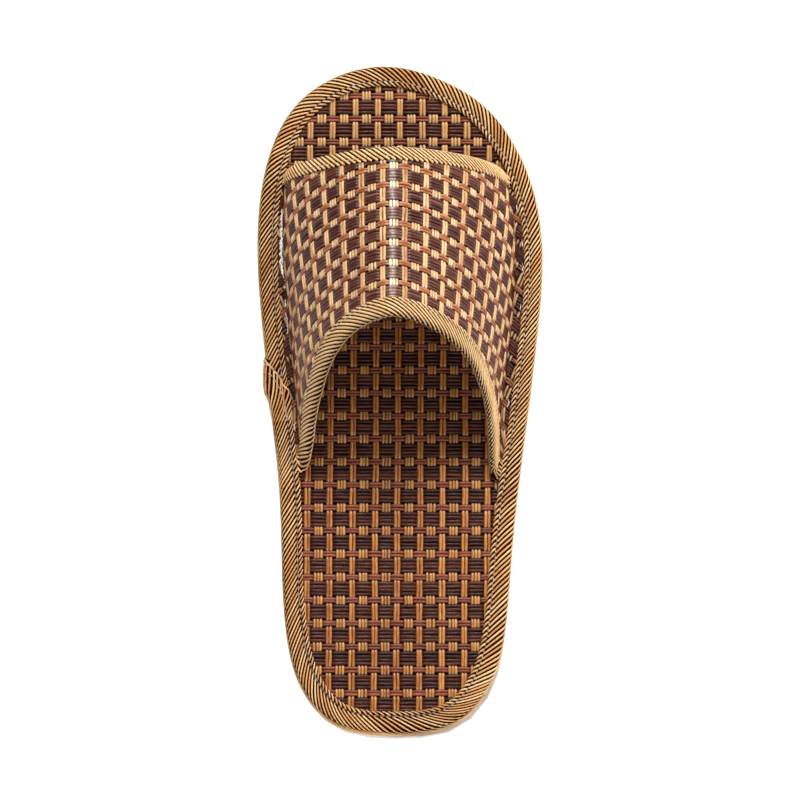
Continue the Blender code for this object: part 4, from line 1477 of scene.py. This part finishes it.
@dataclass(frozen=True)
class RibPlan:
    """Cords across a tape: at each run along it, their spacing and how far they slant."""

    rows: tuple[tuple[float, float, float], ...]

    @classmethod
    def even(cls, spacing: float, slants: Sequence[tuple[float, float]]) -> RibPlan:
        """A plan with one spacing, from runs and slants."""
        return cls(tuple((run, spacing, slant) for run, slant in slants))

    def starts(self, low: float, high: float, whole: bool) -> Array:
        """Runs at which the cords leave the lip, a whole number of them where the tape closes."""
        runs, spacing, _ = np.array(self.rows).T
        fine = np.linspace(low, high, 2000)
        density = 1 / np.interp(fine, runs, spacing)
        count = np.concatenate([[0], np.cumsum((density[1:] + density[:-1]) / 2 * np.diff(fine))])
        if whole:
            count *= round(count[-1]) / count[-1]
        return np.interp(np.arange(0.5, count[-1]), count, fine)

    def slant(self, run: float) -> float:
        """Run along the tape for each millimetre across it."""
        runs, _, slants = np.array(self.rows).T
        return float(np.interp(run, runs, slants))

    def pitch(self, run: float) -> float:
        """Distance from cord to cord, square to them."""
        runs, spacing, _ = np.array(self.rows).T
        return float(np.interp(run, runs, spacing)) / math.hypot(1.0, self.slant(run))


@dataclass(frozen=True)
class LapPlace:
    """Where the sole tape's end lies over it: from a slanting fold to where it has sunk in."""

    tip: float
    end: float
    rim_across: float = 9.4
    fall: float = 1.75

    def fold(self, across: Array) -> Array:
        """Run of the folded edge at distances across the tape."""
        return self.tip + np.clip(self.rim_across - across, 0, None) * self.fall

    def covers(self, run: Array, across: Array) -> Array:
        """Whether the lapped end hides these places."""
        return (run > self.fold(across) + 0.8) & (run < self.end - 1.6)


@dataclass
class FoldedTape:
    """Bias tape over an edge: a ground cloth with cords lying across it on the bias.

    Its rows are the outer face's lines across the tape, from the lip on the weave, round the fold,
    to the hidden lip.
    """

    shop: Workshop
    name: str
    node: str
    rows: Array
    closed: bool
    ribs: RibPlan
    sense: int = 1
    rib_radius: float = 0.41
    rib_share: float = 0.285
    rib_sink: float = 0.09
    rib_swing: float = 0.3
    thickness: float = 0.45
    stitch_at: float = 1.9
    groove_depth: float = 0.25
    groove_half: float = 0.5
    seam_height: float = 0.1
    seam_waver: float = 0.2
    seam_thread: float = 0.36
    seam_margin: float = 0.0
    palest: float = 0.0
    inner_shade: float = 0.0
    lap: LapPlace | None = None
    seed: int = 5

    # A groove this deep lies in full shade.
    DARK_GROOVE: ClassVar[float] = 0.25
    # Where a cord's points lie across the tape near the seam: from, to and step.
    FINE_STEPS: ClassVar[tuple[float, float, float]] = (0.15, 4.6, 0.42)

    def __post_init__(self) -> None:
        """Press the seam's groove into the rows and work out their normals and lengths."""
        self._measure()
        across = self.width * np.linspace(0, 1, self.rows.shape[1])
        groove = np.exp(-(((across - self.stitch_at) / self.groove_half) ** 2))
        self.rows = self.rows - self.normals * (groove * self.groove_depth)[None, :, None]
        self._measure()

    def _measure(self) -> None:
        """Normals and lengths of the rows."""
        if self.closed:
            along = np.roll(self.rows, -1, 0) - np.roll(self.rows, 1, 0)
        else:
            along = np.gradient(self.rows, axis=0)
        across = np.gradient(self.rows, axis=1)
        normals = unit(np.cross(across, along))
        quarter = self.rows.shape[1] // 4
        hub = self.rows.mean(axis=1)
        outward = ((self.rows[:, quarter] - hub) * normals[:, quarter]).sum()
        self.normals = normals * (1 if outward > 0 else -1)
        ring = self.rows[:, quarter]
        self.runs = arc_lengths(np.vstack([ring, ring[:1]]) if self.closed else ring)
        self.width = float(np.linalg.norm(np.diff(self.rows, axis=1), axis=2).sum(1).mean())

    def at(self, run: Array, across: Array, height: Array | float) -> tuple[Array, Array]:
        """Points on the tape and their outward directions.

        Args:
            run: lengths along the tape.
            across: distances across it from its lip on the weave.
            height: distances out from its face.

        Returns:
            The points and the directions.
        """
        run, across = np.broadcast_arrays(np.asarray(run, float), across)
        total = self.runs[-1]
        run = run % total if self.closed else np.clip(run, 0, total)
        place = np.interp(run, self.runs, np.arange(len(self.runs)))
        count, size = self.rows.shape[:2]
        i = np.minimum(place.astype(int), len(self.runs) - 2)
        a = (place - i)[..., None]
        column = np.clip(across / self.width * (size - 1), 0, size - 1.001)
        j = column.astype(int)
        b = (column - j)[..., None]
        here = ((i % count, (i + 1) % count), j, a, b)
        ups = unit(blend_cells(self.normals, *here))
        lift = np.broadcast_to(height, run.shape)[..., None]
        return blend_cells(self.rows, *here) + ups * lift, ups

    def build(self) -> None:
        """Build ground, ribs and seam, and dress them."""
        count, size = self.rows.shape[:2]
        inner = self.rows - self.normals * self.thickness
        points = np.concatenate([self.rows.reshape(-1, 3), inner.reshape(-1, 3)])
        faces = shell_faces(count, size, self.closed)
        finishes = self.shop.finishes
        ground = make_mesh_object(self.name, points, faces, [finishes.tape_ground])
        ribs = self.shop.strands.lay(
            self.name + "_ribs", self.rib_lines(), finishes.tape_rib, sides=5,
            swing=self.rib_swing, reach=self.rib_swing + self.rib_radius, unevenness=0.08,
        )
        for piece in (ground, ribs):
            self.shop.dress(piece, Slot.TAPE, self.node)
        seam = self.shop.stitches.sew(
            self.name + "_seam", self.seam_lines(), finishes.thread, thickness=self.seam_thread
        )
        self.shop.dress(seam, Slot.TAPE)

    def seam_lines(self) -> list[Line]:
        """The line of stitches that holds the lip down, drawn in here and there."""
        runs = np.linspace(0, self.runs[-1], int(self.runs[-1] / 1.2))
        draws = np.random.default_rng(self.seed + 1)
        knots = draws.uniform(-1, 1, int(self.runs[-1] / 6) + 2)
        waver = np.interp(runs / 6, np.arange(len(knots)), knots) * self.seam_waver
        points, ups = self.at(runs, self.stitch_at, self.seam_height + waver)
        if self.lap is None:
            inside = (runs > self.seam_margin) & (runs < self.runs[-1] - self.seam_margin)
            return [Line(points[inside], ups=ups[inside])]
        bare = (runs < self.lap.fold(np.array(self.stitch_at))) | (runs > self.lap.end - 1.0)
        kept = np.flatnonzero(bare)
        parts = np.split(kept, np.flatnonzero(np.diff(kept) > 1) + 1)
        return [Line(points[part], ups=ups[part]) for part in parts]

    def rib_lines(self) -> list[Line]:
        """Lines of the cords, running on the bias."""
        total, width = float(self.runs[-1]), self.width
        lean = 0.0 if self.closed else max(row[2] for row in self.ribs.rows) * width
        low = -lean if self.sense > 0 else 0.0
        across = np.concatenate([np.arange(*self.FINE_STEPS), np.arange(5.2, width - 0.2, 1.0)])
        starts = self.ribs.starts(low, low + total + lean, self.closed)
        lines = []
        for start, tone, stray in zip(starts, *self.characters(len(starts))):
            slant = self.sense * self.ribs.slant(start)
            run = start + stray + slant * across
            kept = np.ones(len(run), bool)
            if not self.closed:
                kept = (run > 0.2) & (run < total - 0.2)
            if self.lap is not None:
                kept = ~self.lap.covers(run, across)
            if kept.sum() >= 3:
                radius = self.rib_share * self.ribs.pitch(start)
                lines.append(self.cord(run[kept], across[kept], radius, tone))
        return lines

    def characters(self, count: int) -> tuple[Array, Array]:
        """Tone of each cord and how far it strays along the tape."""
        draws = np.random.default_rng(self.seed)
        return draws.uniform(self.palest, 1.0, count), draws.uniform(-0.08, 0.08, count)

    def cord(self, run: Array, across: Array, radius: float, tone: float) -> Line:
        """One cord laid on the tape, pressed in where the seam crosses it."""
        points, ups = self.at(run, across, -self.rib_sink)
        pressed = np.exp(-(((across - self.stitch_at) / self.groove_half) ** 2))
        deep = self.groove_depth / self.DARK_GROOVE
        turned = 1 - ease(ups @ ups[0], -0.2, 0.5)
        shade = 2 * deep * pressed + self.inner_shade * turned
        return Line(points, tone, radius, ups, shade=shade)


@dataclass
class LappedEnd(FoldedTape):
    """The sole tape's folded end, lapped over its beginning; its cords run on into the tape's."""

    under: FoldedTape | None = None
    rim_slope: float = 0.1
    cushion_across: float = 11.0
    cushion_half: float = 3.4
    cushion_height: float = 1.3
    stretch: float = 0.3

    # How far across the tape its cords reach, down to the outsole.
    REACH: ClassVar[float] = 15.5
    # Share of the cushion that the doubled tape makes, by distance from the sunken end.
    CUSHION = ((8.4, 0.0), (10.0, 0.3), (12.2, 0.98), (16.2, 1.0), (20.0, 0.75), (26.4, 0.0))
    # Rows of stitches: run back from the fold's tip and distance across.
    SEAMS = (
        ((1.7, 9.7), (4.4, 7.1), (6.4, 5.8), (8.4, 4.8)),
        ((4.9, 10.5), (8.2, 7.0), (11.2, 5.6), (14.9, 4.4), (18.0, 3.7), (21.0, 3.1), (25.6, 2.7)),
    )

    def rise(self, run: Array, across: Array) -> Array:
        """Height of the lapped end over the tape under it."""
        back = self.lap.end - run
        along = np.interp(back, *np.array(self.CUSHION).T)
        girth = np.exp(-(((across - self.cushion_across) / self.cushion_half) ** 2))
        return 0.5 * ease(back, 0.5, 9.0) + self.cushion_height * along * girth

    def rib_lines(self) -> list[Line]:
        """Cords that leave the tape's own slant and turn along the rim."""
        tape, lap = self.under, self.lap
        run = np.arange(lap.end + 0.5, lap.tip, -0.35)
        back = lap.end - run
        steep = 1 / tape.ribs.slant(lap.end)
        slope = self.rim_slope + (steep - self.rim_slope) * (1 - ease(back, 1.0, 17.0))
        starts = tape.ribs.starts(0.0, float(tape.runs[-1]), True)
        lines = []
        for start, tone, stray in zip(starts, *tape.characters(len(starts))):
            across = (run[0] - start - stray) * steep - np.cumsum(slope) * 0.35
            kept = (across > 0.15) & (across < self.REACH) & (run > lap.fold(across) + 0.1)
            if kept.sum() >= 3:
                height = self.rise(run[kept], across[kept])
                points, ups = tape.at(run[kept], across[kept], height - self.rib_sink)
                radius = self.rib_radius * (0.85 + self.stretch * height)
                lines.append(Line(points, tone, radius, ups))
        across = np.arange(0.8, self.REACH - 0.4, 0.4)
        run = lap.fold(across) + 0.1
        points, ups = tape.at(run, across, self.rise(run, across) - 0.1)
        return [*lines, Line(points, 0.6, self.rib_radius, ups)]

    def seam_lines(self) -> list[Line]:
        """A row of stitches along the fold and one that runs on into the tape's seam."""
        rows = []
        for seam in self.SEAMS:
            back, across = np.array(seam).T
            fine = np.linspace(0, len(seam) - 1, 24)
            run = self.lap.tip + np.interp(fine, np.arange(len(seam)), back)
            across = np.interp(fine, np.arange(len(seam)), across)
            points, ups = self.under.at(run, across, self.rise(run, across) + 0.4)
            rows.append(Line(points, ups=ups))
        return rows


@dataclass
class Tapes:
    """The four tapes: round the sole, its lap, along the toe edge and along the throat."""

    shop: Workshop
    rim_count: int = 340
    over: float = 0.5
    fold_thickness: float = 0.5
    under: float = -1.75
    ease_room: float = 0.2
    tip_gap: float = 0.4
    # Where along the slipper the lap's tip lies and where it ends.
    LAP_TIP: ClassVar[float] = 17.4
    LAP_END: ClassVar[float] = -9.0
    # Points across the sole tape and an edge tape, and round a rim that is only measured from.
    SOLE_TURNS: ClassVar[int] = 46
    EDGE_TURNS: ClassVar[int] = 40
    FINE_RIM: ClassVar[int] = 720
    # Far more than any row's height, so that nothing holds rows down away from the rim.
    FREE_RISE: ClassVar[float] = 300

    # The figures of these tables rest on the output of separate measuring scripts.
    # How far the sole tape's lip lies inside the rim: along, medial, lateral.
    LIP_ROWS = (
        (-137.0, 8.5, 8.5), (-112.0, 8.6, 8.5), (-80.0, 8.1, 8.5), (-48.0, 8.3, 8.0),
        (-15.0, 8.0, 7.1), (18.0, 7.4, 6.9), (50.0, 7.8, 7.0), (85.0, 7.9, 7.6),
        (115.0, 7.8, 8.0), (137.0, 7.8, 7.8),
    )
    # Run along the sole tape and its cords' slant.
    SOLE_SLANTS = (
        (0.0, 1.68), (11.0, 1.69), (32.0, 1.11), (42.0, 1.04), (63.0, 1.11), (85.0, 1.04),
        (106.0, 1.11), (127.0, 1.43), (148.0, 1.50), (190.0, 1.53), (217.0, 1.32), (233.0, 1.42),
        (254.0, 1.30), (296.0, 1.18), (317.0, 1.35), (349.0, 1.25), (370.0, 1.22), (391.0, 1.53),
        (412.0, 1.65), (444.0, 1.65), (462.0, 1.50), (466.0, 1.87), (491.0, 1.87), (507.0, 1.46),
        (518.0, 1.43), (539.0, 1.62), (571.0, 1.63), (603.0, 1.54), (624.0, 1.20), (642.0, 1.68),
    )
    SOLE_RIBS = RibPlan.even(2.33, SOLE_SLANTS)
    # Run along each edge tape, spacing of its cords along it and their slant.
    TOE_RIBS = RibPlan(
        (
            (0.0, 2.6, 1.45), (12.0, 2.18, 1.15), (50.0, 2.42, 1.3), (75.0, 2.2, 1.15),
            (105.0, 1.92, 0.9),
        )
    )
    THROAT_RIBS = RibPlan(
        (
            (0.0, 1.7, 0.55), (20.0, 2.0, 0.9), (50.0, 2.4, 1.45), (80.0, 2.6, 1.6),
            (120.0, 2.7, 1.8), (150.0, 2.4, 1.6), (200.0, 1.75, 1.0),
        )
    )

    def build(self) -> None:
        """Build every tape and its seam."""
        sole = self._sole_tape()
        for tape in (sole, self._lap_tape(sole), self._toe_tape(), self._throat_tape()):
            tape.build()

    def _lip(self, ring: Array) -> Array:
        """Inset of the sole tape's lip at points round the rim."""
        along, medial, lateral = np.array(self.LIP_ROWS).T
        share = ease(ring[:, 0], -12.0, 12.0)
        low, high = np.interp(ring[:, 1], along, medial), np.interp(ring[:, 1], along, lateral)
        return low + (high - low) * share

    def _round_off(self, corners: Array, times: int = 2) -> Array:
        """A line through corners with each inner corner cut off, as cloth bends."""
        line = corners
        for _ in range(times):
            near = line[:-1] * 0.75 + line[1:] * 0.25
            far = line[:-1] * 0.25 + line[1:] * 0.75
            middle = np.stack([near, far], 1).reshape(-1, 3)
            line = np.vstack([line[:1], middle[1:-1], line[-1:]])
        return line

    def _sole_tape(self) -> FoldedTape:
        """Tape over the insole's rim: a rolled lip, a sewn groove, a crest and its tucked edge."""
        sole = self.shop.sole
        rim = sole.rim(self.rim_count)
        lip = self._lip(rim)
        # Inset, share of the flange's lift, height above the insole.
        over_insole = (
            (lip + 0.1, 1.0, 0.3), (lip + 0.05, 1.0, 0.95), (lip - 0.6, 1.0, 1.4),
            (lip - 1.5, 1.0, 1.25), (lip - 2.1, 1.0, 0.45), (lip - 2.8, 1.0, 0.8),
            (lip * 0.55, 1.0, 1.3), (lip * 0.32, 0.98, 1.5), (lip * 0.15, 0.9, 1.4),
            (lip * 0.055, 0.65, 0.85), (lip * 0.02, 0.3, -0.4), (lip * 0.025, 0.0, -2.2),
        )
        # The same for the tucked edge, with heights above the bed.
        tucked = (
            (lip * 0.03, 0.0, 1.6), (lip * 0.06, 0.0, 0.6), (lip * 0.12, 0.0, 0.3),
            (lip * 0.0 + 4.4, 0.0, 0.3),
        )
        columns = []
        for surface, turns in ((sole.insole_top, over_insole), (sole.bed, tucked)):
            for inset, lifted, above in turns:
                ring = sole.inset(rim, inset)
                y = ring[:, 1]
                height = surface(y) + sole.flange_lift(y) * lifted + above
                columns.append(np.column_stack([ring, height]))
        corners = np.stack(columns, 1)
        rows = np.stack([spread_evenly(self._round_off(row), self.SOLE_TURNS) for row in corners])
        return FoldedTape(
            self.shop, "sole_tape", "sole_binding", rows, closed=True, ribs=self.SOLE_RIBS,
            stitch_at=2.7, groove_depth=0.18, groove_half=0.42, lap=self._lap_place(rows),
        )

    def _lap_place(self, rows: Array) -> LapPlace:
        """Runs between which the tape's end laps over it, on the medial side."""
        ring = rows[:, rows.shape[1] // 4]
        runs = arc_lengths(ring)
        toe = int(ring[:, 1].argmax())
        along, back = ring[toe:, 1][::-1], runs[toe:][::-1]
        tip, end = (float(np.interp(y, along, back)) for y in (self.LAP_TIP, self.LAP_END))
        return LapPlace(tip, end)

    def _lap_tape(self, sole_tape: FoldedTape) -> FoldedTape:
        """The tape's finishing end: a slanting fold on top, sinking into the tape further on."""
        across = np.linspace(0.0, LappedEnd.REACH + 0.2, 36)
        share = np.linspace(0, 1, 36)[:, None]
        start = sole_tape.lap.fold(across)
        run = start + (sole_tape.lap.end - start) * share
        lapped = LappedEnd(
            self.shop, "lap_tape", "binding_lap", sole_tape.at(run, across, 0.0)[0], closed=False,
            ribs=self.SOLE_RIBS, groove_depth=0.0, seam_thread=0.5, seed=9, lap=sole_tape.lap,
            under=sole_tape,
        )
        sunk = 0.4 * (1 - ease(sole_tape.lap.end - run, 0.0, 1.5))
        lapped.rows = sole_tape.at(run, across, lapped.rise(run, across) - sunk)[0]
        return lapped

    def _toe_tape(self) -> FoldedTape:
        """Tape along the vamp's toe edge."""
        rows = self._edge_rows(TOE_EDGE, 6.2, 6.0, (0.8, 0.8, 0.8))
        return self._edge_tape("toe_tape", "toe_binding", rows, self.TOE_RIBS, -1)

    def _throat_tape(self) -> FoldedTape:
        """Tape along the throat."""
        rows = self._edge_rows(THROAT_EDGE, 6.4, 6.0, (0.3, -0.5, 0.7))
        return self._edge_tape("throat_tape", "throat_binding", rows, self.THROAT_RIBS, 1)

    def _edge_tape(
        self, name: str, node: str, rows: Array, ribs: RibPlan, sense: int
    ) -> FoldedTape:
        """Tape over a cut edge, its thread drawn down between the cords."""
        return FoldedTape(
            self.shop, name, node, rows, closed=False, ribs=ribs, sense=sense, rib_radius=0.5,
            rib_share=0.375, rib_sink=0.14, groove_depth=0.07, seam_height=-0.05, seam_margin=16.0,
            palest=0.6, inner_shade=0.5,
        )

    def _edge_rows(
        self, edge: CutEdge, outer: float, inner: float, pulls: tuple[float, float, float]
    ) -> Array:
        """Rows of a tape folded over a cut edge of the vamp.

        Args:
            edge: the cut edge.
            outer: how far its outer leaf reaches onto the vamp.
            inner: how far its inner leaf reaches.
            pulls: how far the fold is drawn over the edge at the medial wing, the ridge and the
                lateral wing.

        Returns:
            The rows, from its medial end to its lateral end.
        """
        form = self.shop.vamp
        girth, station = self._edge_path(edge)
        points = form.place(girth, station)
        normal = form.normal(girth, station)
        into = unit(np.cross(normal, unit(np.gradient(points, axis=0))))
        flip = np.where(edge.depth(points + into) < edge.depth(points - into), -1.0, 1.0)
        into *= flip[:, None]
        step = self._surface_step(girth, station, into)
        rate = edge.depth(points + into) - edge.depth(points)
        room = self._tip_room(girth, station, step)
        top, bottom = self.over + self.fold_thickness, self.under - self.fold_thickness

        def lip(height: float) -> Array:
            """Where the wall's cut face lies at a height above its outer face."""
            return -edge.depth(points + normal * height) / rate

        medial, ridge, lateral = pulls
        pull = ridge + (medial - ridge) * ease(-girth, 25.0, 60.0)
        pull = pull + (lateral - ridge) * ease(girth, 25.0, 60.0)
        lengths = arc_lengths(points)
        last = np.minimum(lengths, lengths[-1] - lengths)
        pull = pull + np.where(girth < 0, 1.3, 0.5) * (1 - ease(last, 0.0, 15.0))
        fold = np.minimum(lip(self.over), lip(self.under)) - self.ease_room
        fold = fold - self.fold_thickness + pull
        reach = np.minimum(outer, room)
        back = np.minimum(inner, room)
        # Reach into the vamp and height over its face.
        profile = (
            (reach + 0.1, self.over + 0.05), (reach, top - 0.05), (reach - 0.6, top + 0.15),
            (reach * 0.6 + fold * 0.4, top + 0.05), (reach * 0.3 + fold * 0.7, top),
            (fold + 1.1, top - 0.15), (fold + 0.3, top - 0.75), (fold, top - 1.4),
            (fold + 0.3, top - 2.0), (fold + 1.3, bottom + 0.5), (fold + 2.6, bottom),
            (fold * 0.3 + back * 0.7, bottom), (back, bottom),
        )
        columns = []
        for out, height in profile:
            inside = form.place(girth + step[:, 0] * out, station + step[:, 1] * out, height)
            outside = points + into * out[:, None] + normal * height
            share = ease(out, -0.5, 1.5)[:, None]
            columns.append(inside * share + outside * (1 - share))
        corners = self._press(np.stack(columns, 1))
        return np.stack([spread_evenly(self._round_off(row), self.EDGE_TURNS) for row in corners])

    def _press(self, rows: Array) -> Array:
        """Hold rows above the insole and, near the rim, below the sole's tape."""
        sole = self.shop.sole
        rim = sole.rim(self.FINE_RIM)
        left = np.interp(rows[..., 1], *sole.side_edge(rim, Side.MEDIAL))
        right = np.interp(rows[..., 1], *sole.side_edge(rim, Side.LATERAL))
        inset = np.minimum(rows[..., 0] - left, right - rows[..., 0])
        floor = sole.insole_top(rows[..., 1])
        low, high = floor + 0.3, floor + 1.9 + self.FREE_RISE * ease(inset, 7.8, 14.0)
        held = rows.copy()
        held[..., 2] = np.clip(rows[..., 2], low, high)
        return held

    def _edge_path(self, edge: CutEdge) -> tuple[Array, Array]:
        """Even girths and stations along an edge, from under the sole's tape to under it again."""
        form = self.shop.vamp
        girth, station = [], []
        for share in np.linspace(-1, 1, 241):
            at = form.edge_station(edge, float(share))
            tip = float(form.side_value(form.tip, share, at))
            girth.append(share * (tip - self.tip_gap))
            station.append(at)
        line = np.column_stack([girth, station])
        lengths = arc_lengths(form.place(line[:, 0], line[:, 1]))
        even = np.linspace(0, lengths[-1], int(lengths[-1] / 1.4))
        return np.interp(even, lengths, line[:, 0]), np.interp(even, lengths, line[:, 1])

    def _surface_step(self, girth: Array, station: Array, direction: Array) -> Array:
        """Change of girth and station for one millimetre along a direction in the face."""
        form = self.shop.vamp
        across = form.place(girth + 0.5, station) - form.place(girth - 0.5, station)
        back = form.place(girth, station + 0.5) - form.place(girth, station - 0.5)
        basis = np.stack([across, back], 2)
        square = np.einsum("nki,nkj->nij", basis, basis)
        target = np.einsum("nki,nk->ni", basis, direction)
        return np.linalg.solve(square, target[..., None])[..., 0]

    def _tip_room(self, girth: Array, station: Array, step: Array) -> Array:
        """How far a tape may reach into the wall before it meets the flange's tip."""
        form = self.shop.vamp
        room = np.full(len(girth), 12.0)
        for reach in np.arange(12.0, 1.15, -0.1):
            at_girth, at_station = girth + step[:, 0] * reach, station + step[:, 1] * reach
            tip = form.side_value(form.tip, at_girth, at_station)
            room = np.where(tip - np.abs(at_girth) < 0.1, reach - 0.1, room)
        return np.maximum(room, 1.2)


@dataclass
class CreaseFray:
    """White lining threads that fray out of the crease between vamp and sole."""

    shop: Workshop
    seed: int = 41

    # Side, from along, to along, distance outside the foot, greatest radius.
    ROWS = (
        (Side.MEDIAL, 79.0, 56.0, 0.9, 0.95), (Side.MEDIAL, 60.0, 38.0, 0.7, 0.9),
        (Side.MEDIAL, 36.0, 27.0, 0.9, 0.35), (Side.MEDIAL, -9.0, -13.0, 1.4, 0.3),
        (Side.LATERAL, 82.0, 79.0, 2.6, 0.3), (Side.LATERAL, 68.0, 65.0, 3.0, 0.3),
        (Side.LATERAL, 58.0, 53.0, 2.8, 0.25), (Side.LATERAL, 41.0, 38.5, 2.8, 0.25),
        (Side.LATERAL, 1.0, -2.0, 2.2, 0.3), (Side.LATERAL, -12.0, -14.5, 2.0, 0.25),
    )

    def build(self) -> None:
        """Lay the threads."""
        form = self.shop.vamp
        draws = np.random.default_rng(self.seed)
        lines = []
        for side, start, end, outside, radius in self.ROWS:
            y = np.linspace(start, end, max(5, int(abs(start - end) / 0.45)))
            feet = form.place(side * form.foot[side], form.stations)
            station = np.interp(y, feet[::-1, 1], form.stations[::-1])
            foot = np.interp(station, form.stations, form.foot[side])
            wander = np.cumsum(draws.uniform(-0.45, 0.45, len(y)))
            wander -= np.linspace(wander[0], wander[-1], len(y))
            points = form.place(side * (foot + outside), station, 0.35)
            points[:, 0] += wander
            points[:, 2] += draws.uniform(0.2, 0.8, len(y))
            pinch = np.sin(np.linspace(0, np.pi, len(y))) ** 0.4
            thick = radius * pinch * draws.uniform(0.25, 1.0, len(y))
            lines.append(Line(points, draws.random(), np.maximum(thick, 0.08)))
        piece = self.shop.strands.lay(
            "crease_fray", lines, self.shop.finishes.overlock, sides=6, reach=0.4
        )
        self.shop.dress(piece, Slot.UPPER)


# ------------------------------------------------------------------ studio
@dataclass(frozen=True)
class Studio:
    """Plain pale floor, soft light and the camera."""

    distance: float = 6.0
    elevation: float = 77.0
    view_width: float = 0.32168
    target: tuple[float, float, float] = (0.0, -0.001317, 0.020)
    floor_size: float = 6.0

    def build(self) -> None:
        """Build floor, lights, world and camera."""
        self._floor()
        self._camera()
        self._light("front_softbox", (0.0, 1.68, 1.9), 1.0, 0.7, 66.0)
        self._light("back_softbox", (-0.2, -1.5, 1.9), 1.2, 1.0, 19.0)
        self._light("side_softbox", (1.9, 0.5, 1.2), 1.2, 1.0, 18.0)
        self._world()
        bpy.context.scene.view_settings.view_transform = "Standard"

    def _world(self) -> None:
        """A white room: bright round the horizon, dimmer overhead and to the left."""
        world = bpy.data.worlds.new("studio")
        bpy.context.scene.world = world
        world.use_nodes = True
        tree = world.node_tree
        place = add_node(tree, "ShaderNodeTexCoord")
        split = add_node(
            tree, "ShaderNodeSeparateXYZ", inputs={"Vector": place.outputs["Generated"]}
        )
        heights = {"From Min": 0.1, "From Max": 0.9, "To Min": 0.42, "To Max": 0.2}
        high = add_node(
            tree, "ShaderNodeMapRange", inputs={"Value": split.outputs["Z"], **heights}
        )
        side = add_math(tree, "MULTIPLY_ADD", split.outputs["X"], 0.3, high.outputs["Result"])
        background = tree.nodes["Background"]
        background.inputs["Color"].default_value = (1.0, 1.0, 1.0, 1.0)
        tree.links.new(side, background.inputs["Strength"])

    def _floor(self) -> None:
        """A matt opal floor under the slipper, lit from within like a light table."""
        half = self.floor_size * 500
        corners = [(-half, -half), (half, -half), (half, half), (-half, half)]
        points = np.array([(x, y, -0.6) for x, y in corners])
        material = LitAcrylic("floor_opal_acrylic_lit").build()
        floor = make_mesh_object("floor", points, [(0, 1, 2, 3)], [material])

    def _light(
        self, name: str, place: tuple[float, float, float], wide: float, high: float, power: float
    ) -> None:
        """A softbox that points at the slipper."""
        data = bpy.data.lights.new(name, "AREA")
        data.shape = "RECTANGLE"
        data.size, data.size_y = wide, high
        data.energy = power
        light = bpy.data.objects.new(name, data)
        light.location = place
        aim = Vector((0.0, 0.0, 0.03)) - Vector(place)
        light.rotation_euler = aim.to_track_quat("-Z", "Y").to_euler()
        bpy.context.scene.collection.objects.link(light)

    def _camera(self) -> None:
        """A long-lens camera looking down from behind the heel."""
        data = bpy.data.cameras.new("camera")
        data.sensor_width = 36.0
        data.lens = 36.0 * self.distance / self.view_width
        data.clip_end = 50.0
        camera = bpy.data.objects.new("camera", data)
        target = Vector(self.target)
        angle = math.radians(self.elevation)
        away = Vector((0.0, -math.cos(angle), math.sin(angle)))
        camera.location = target + away * self.distance
        camera.rotation_euler = (-away).to_track_quat("-Z", "Y").to_euler()
        bpy.context.scene.collection.objects.link(camera)
        bpy.context.scene.camera = camera


def main() -> None:
    """Dress the slipper piece by piece."""
    logging.basicConfig(level=logging.INFO, format="%(name)s: %(message)s")
    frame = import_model()
    sole = SoleForm()
    shop = Workshop(sole, VampForm(sole), Finishes(), StrandTool(), StitchTool())
    Outsole(shop, frame["nodes"]["outsole"]).build()
    Insole(shop).build()
    Vamp(shop).build()
    Tapes(shop).build()
    CreaseFray(shop).build()
    Studio().build()


if __name__ == "__main__":
    main()
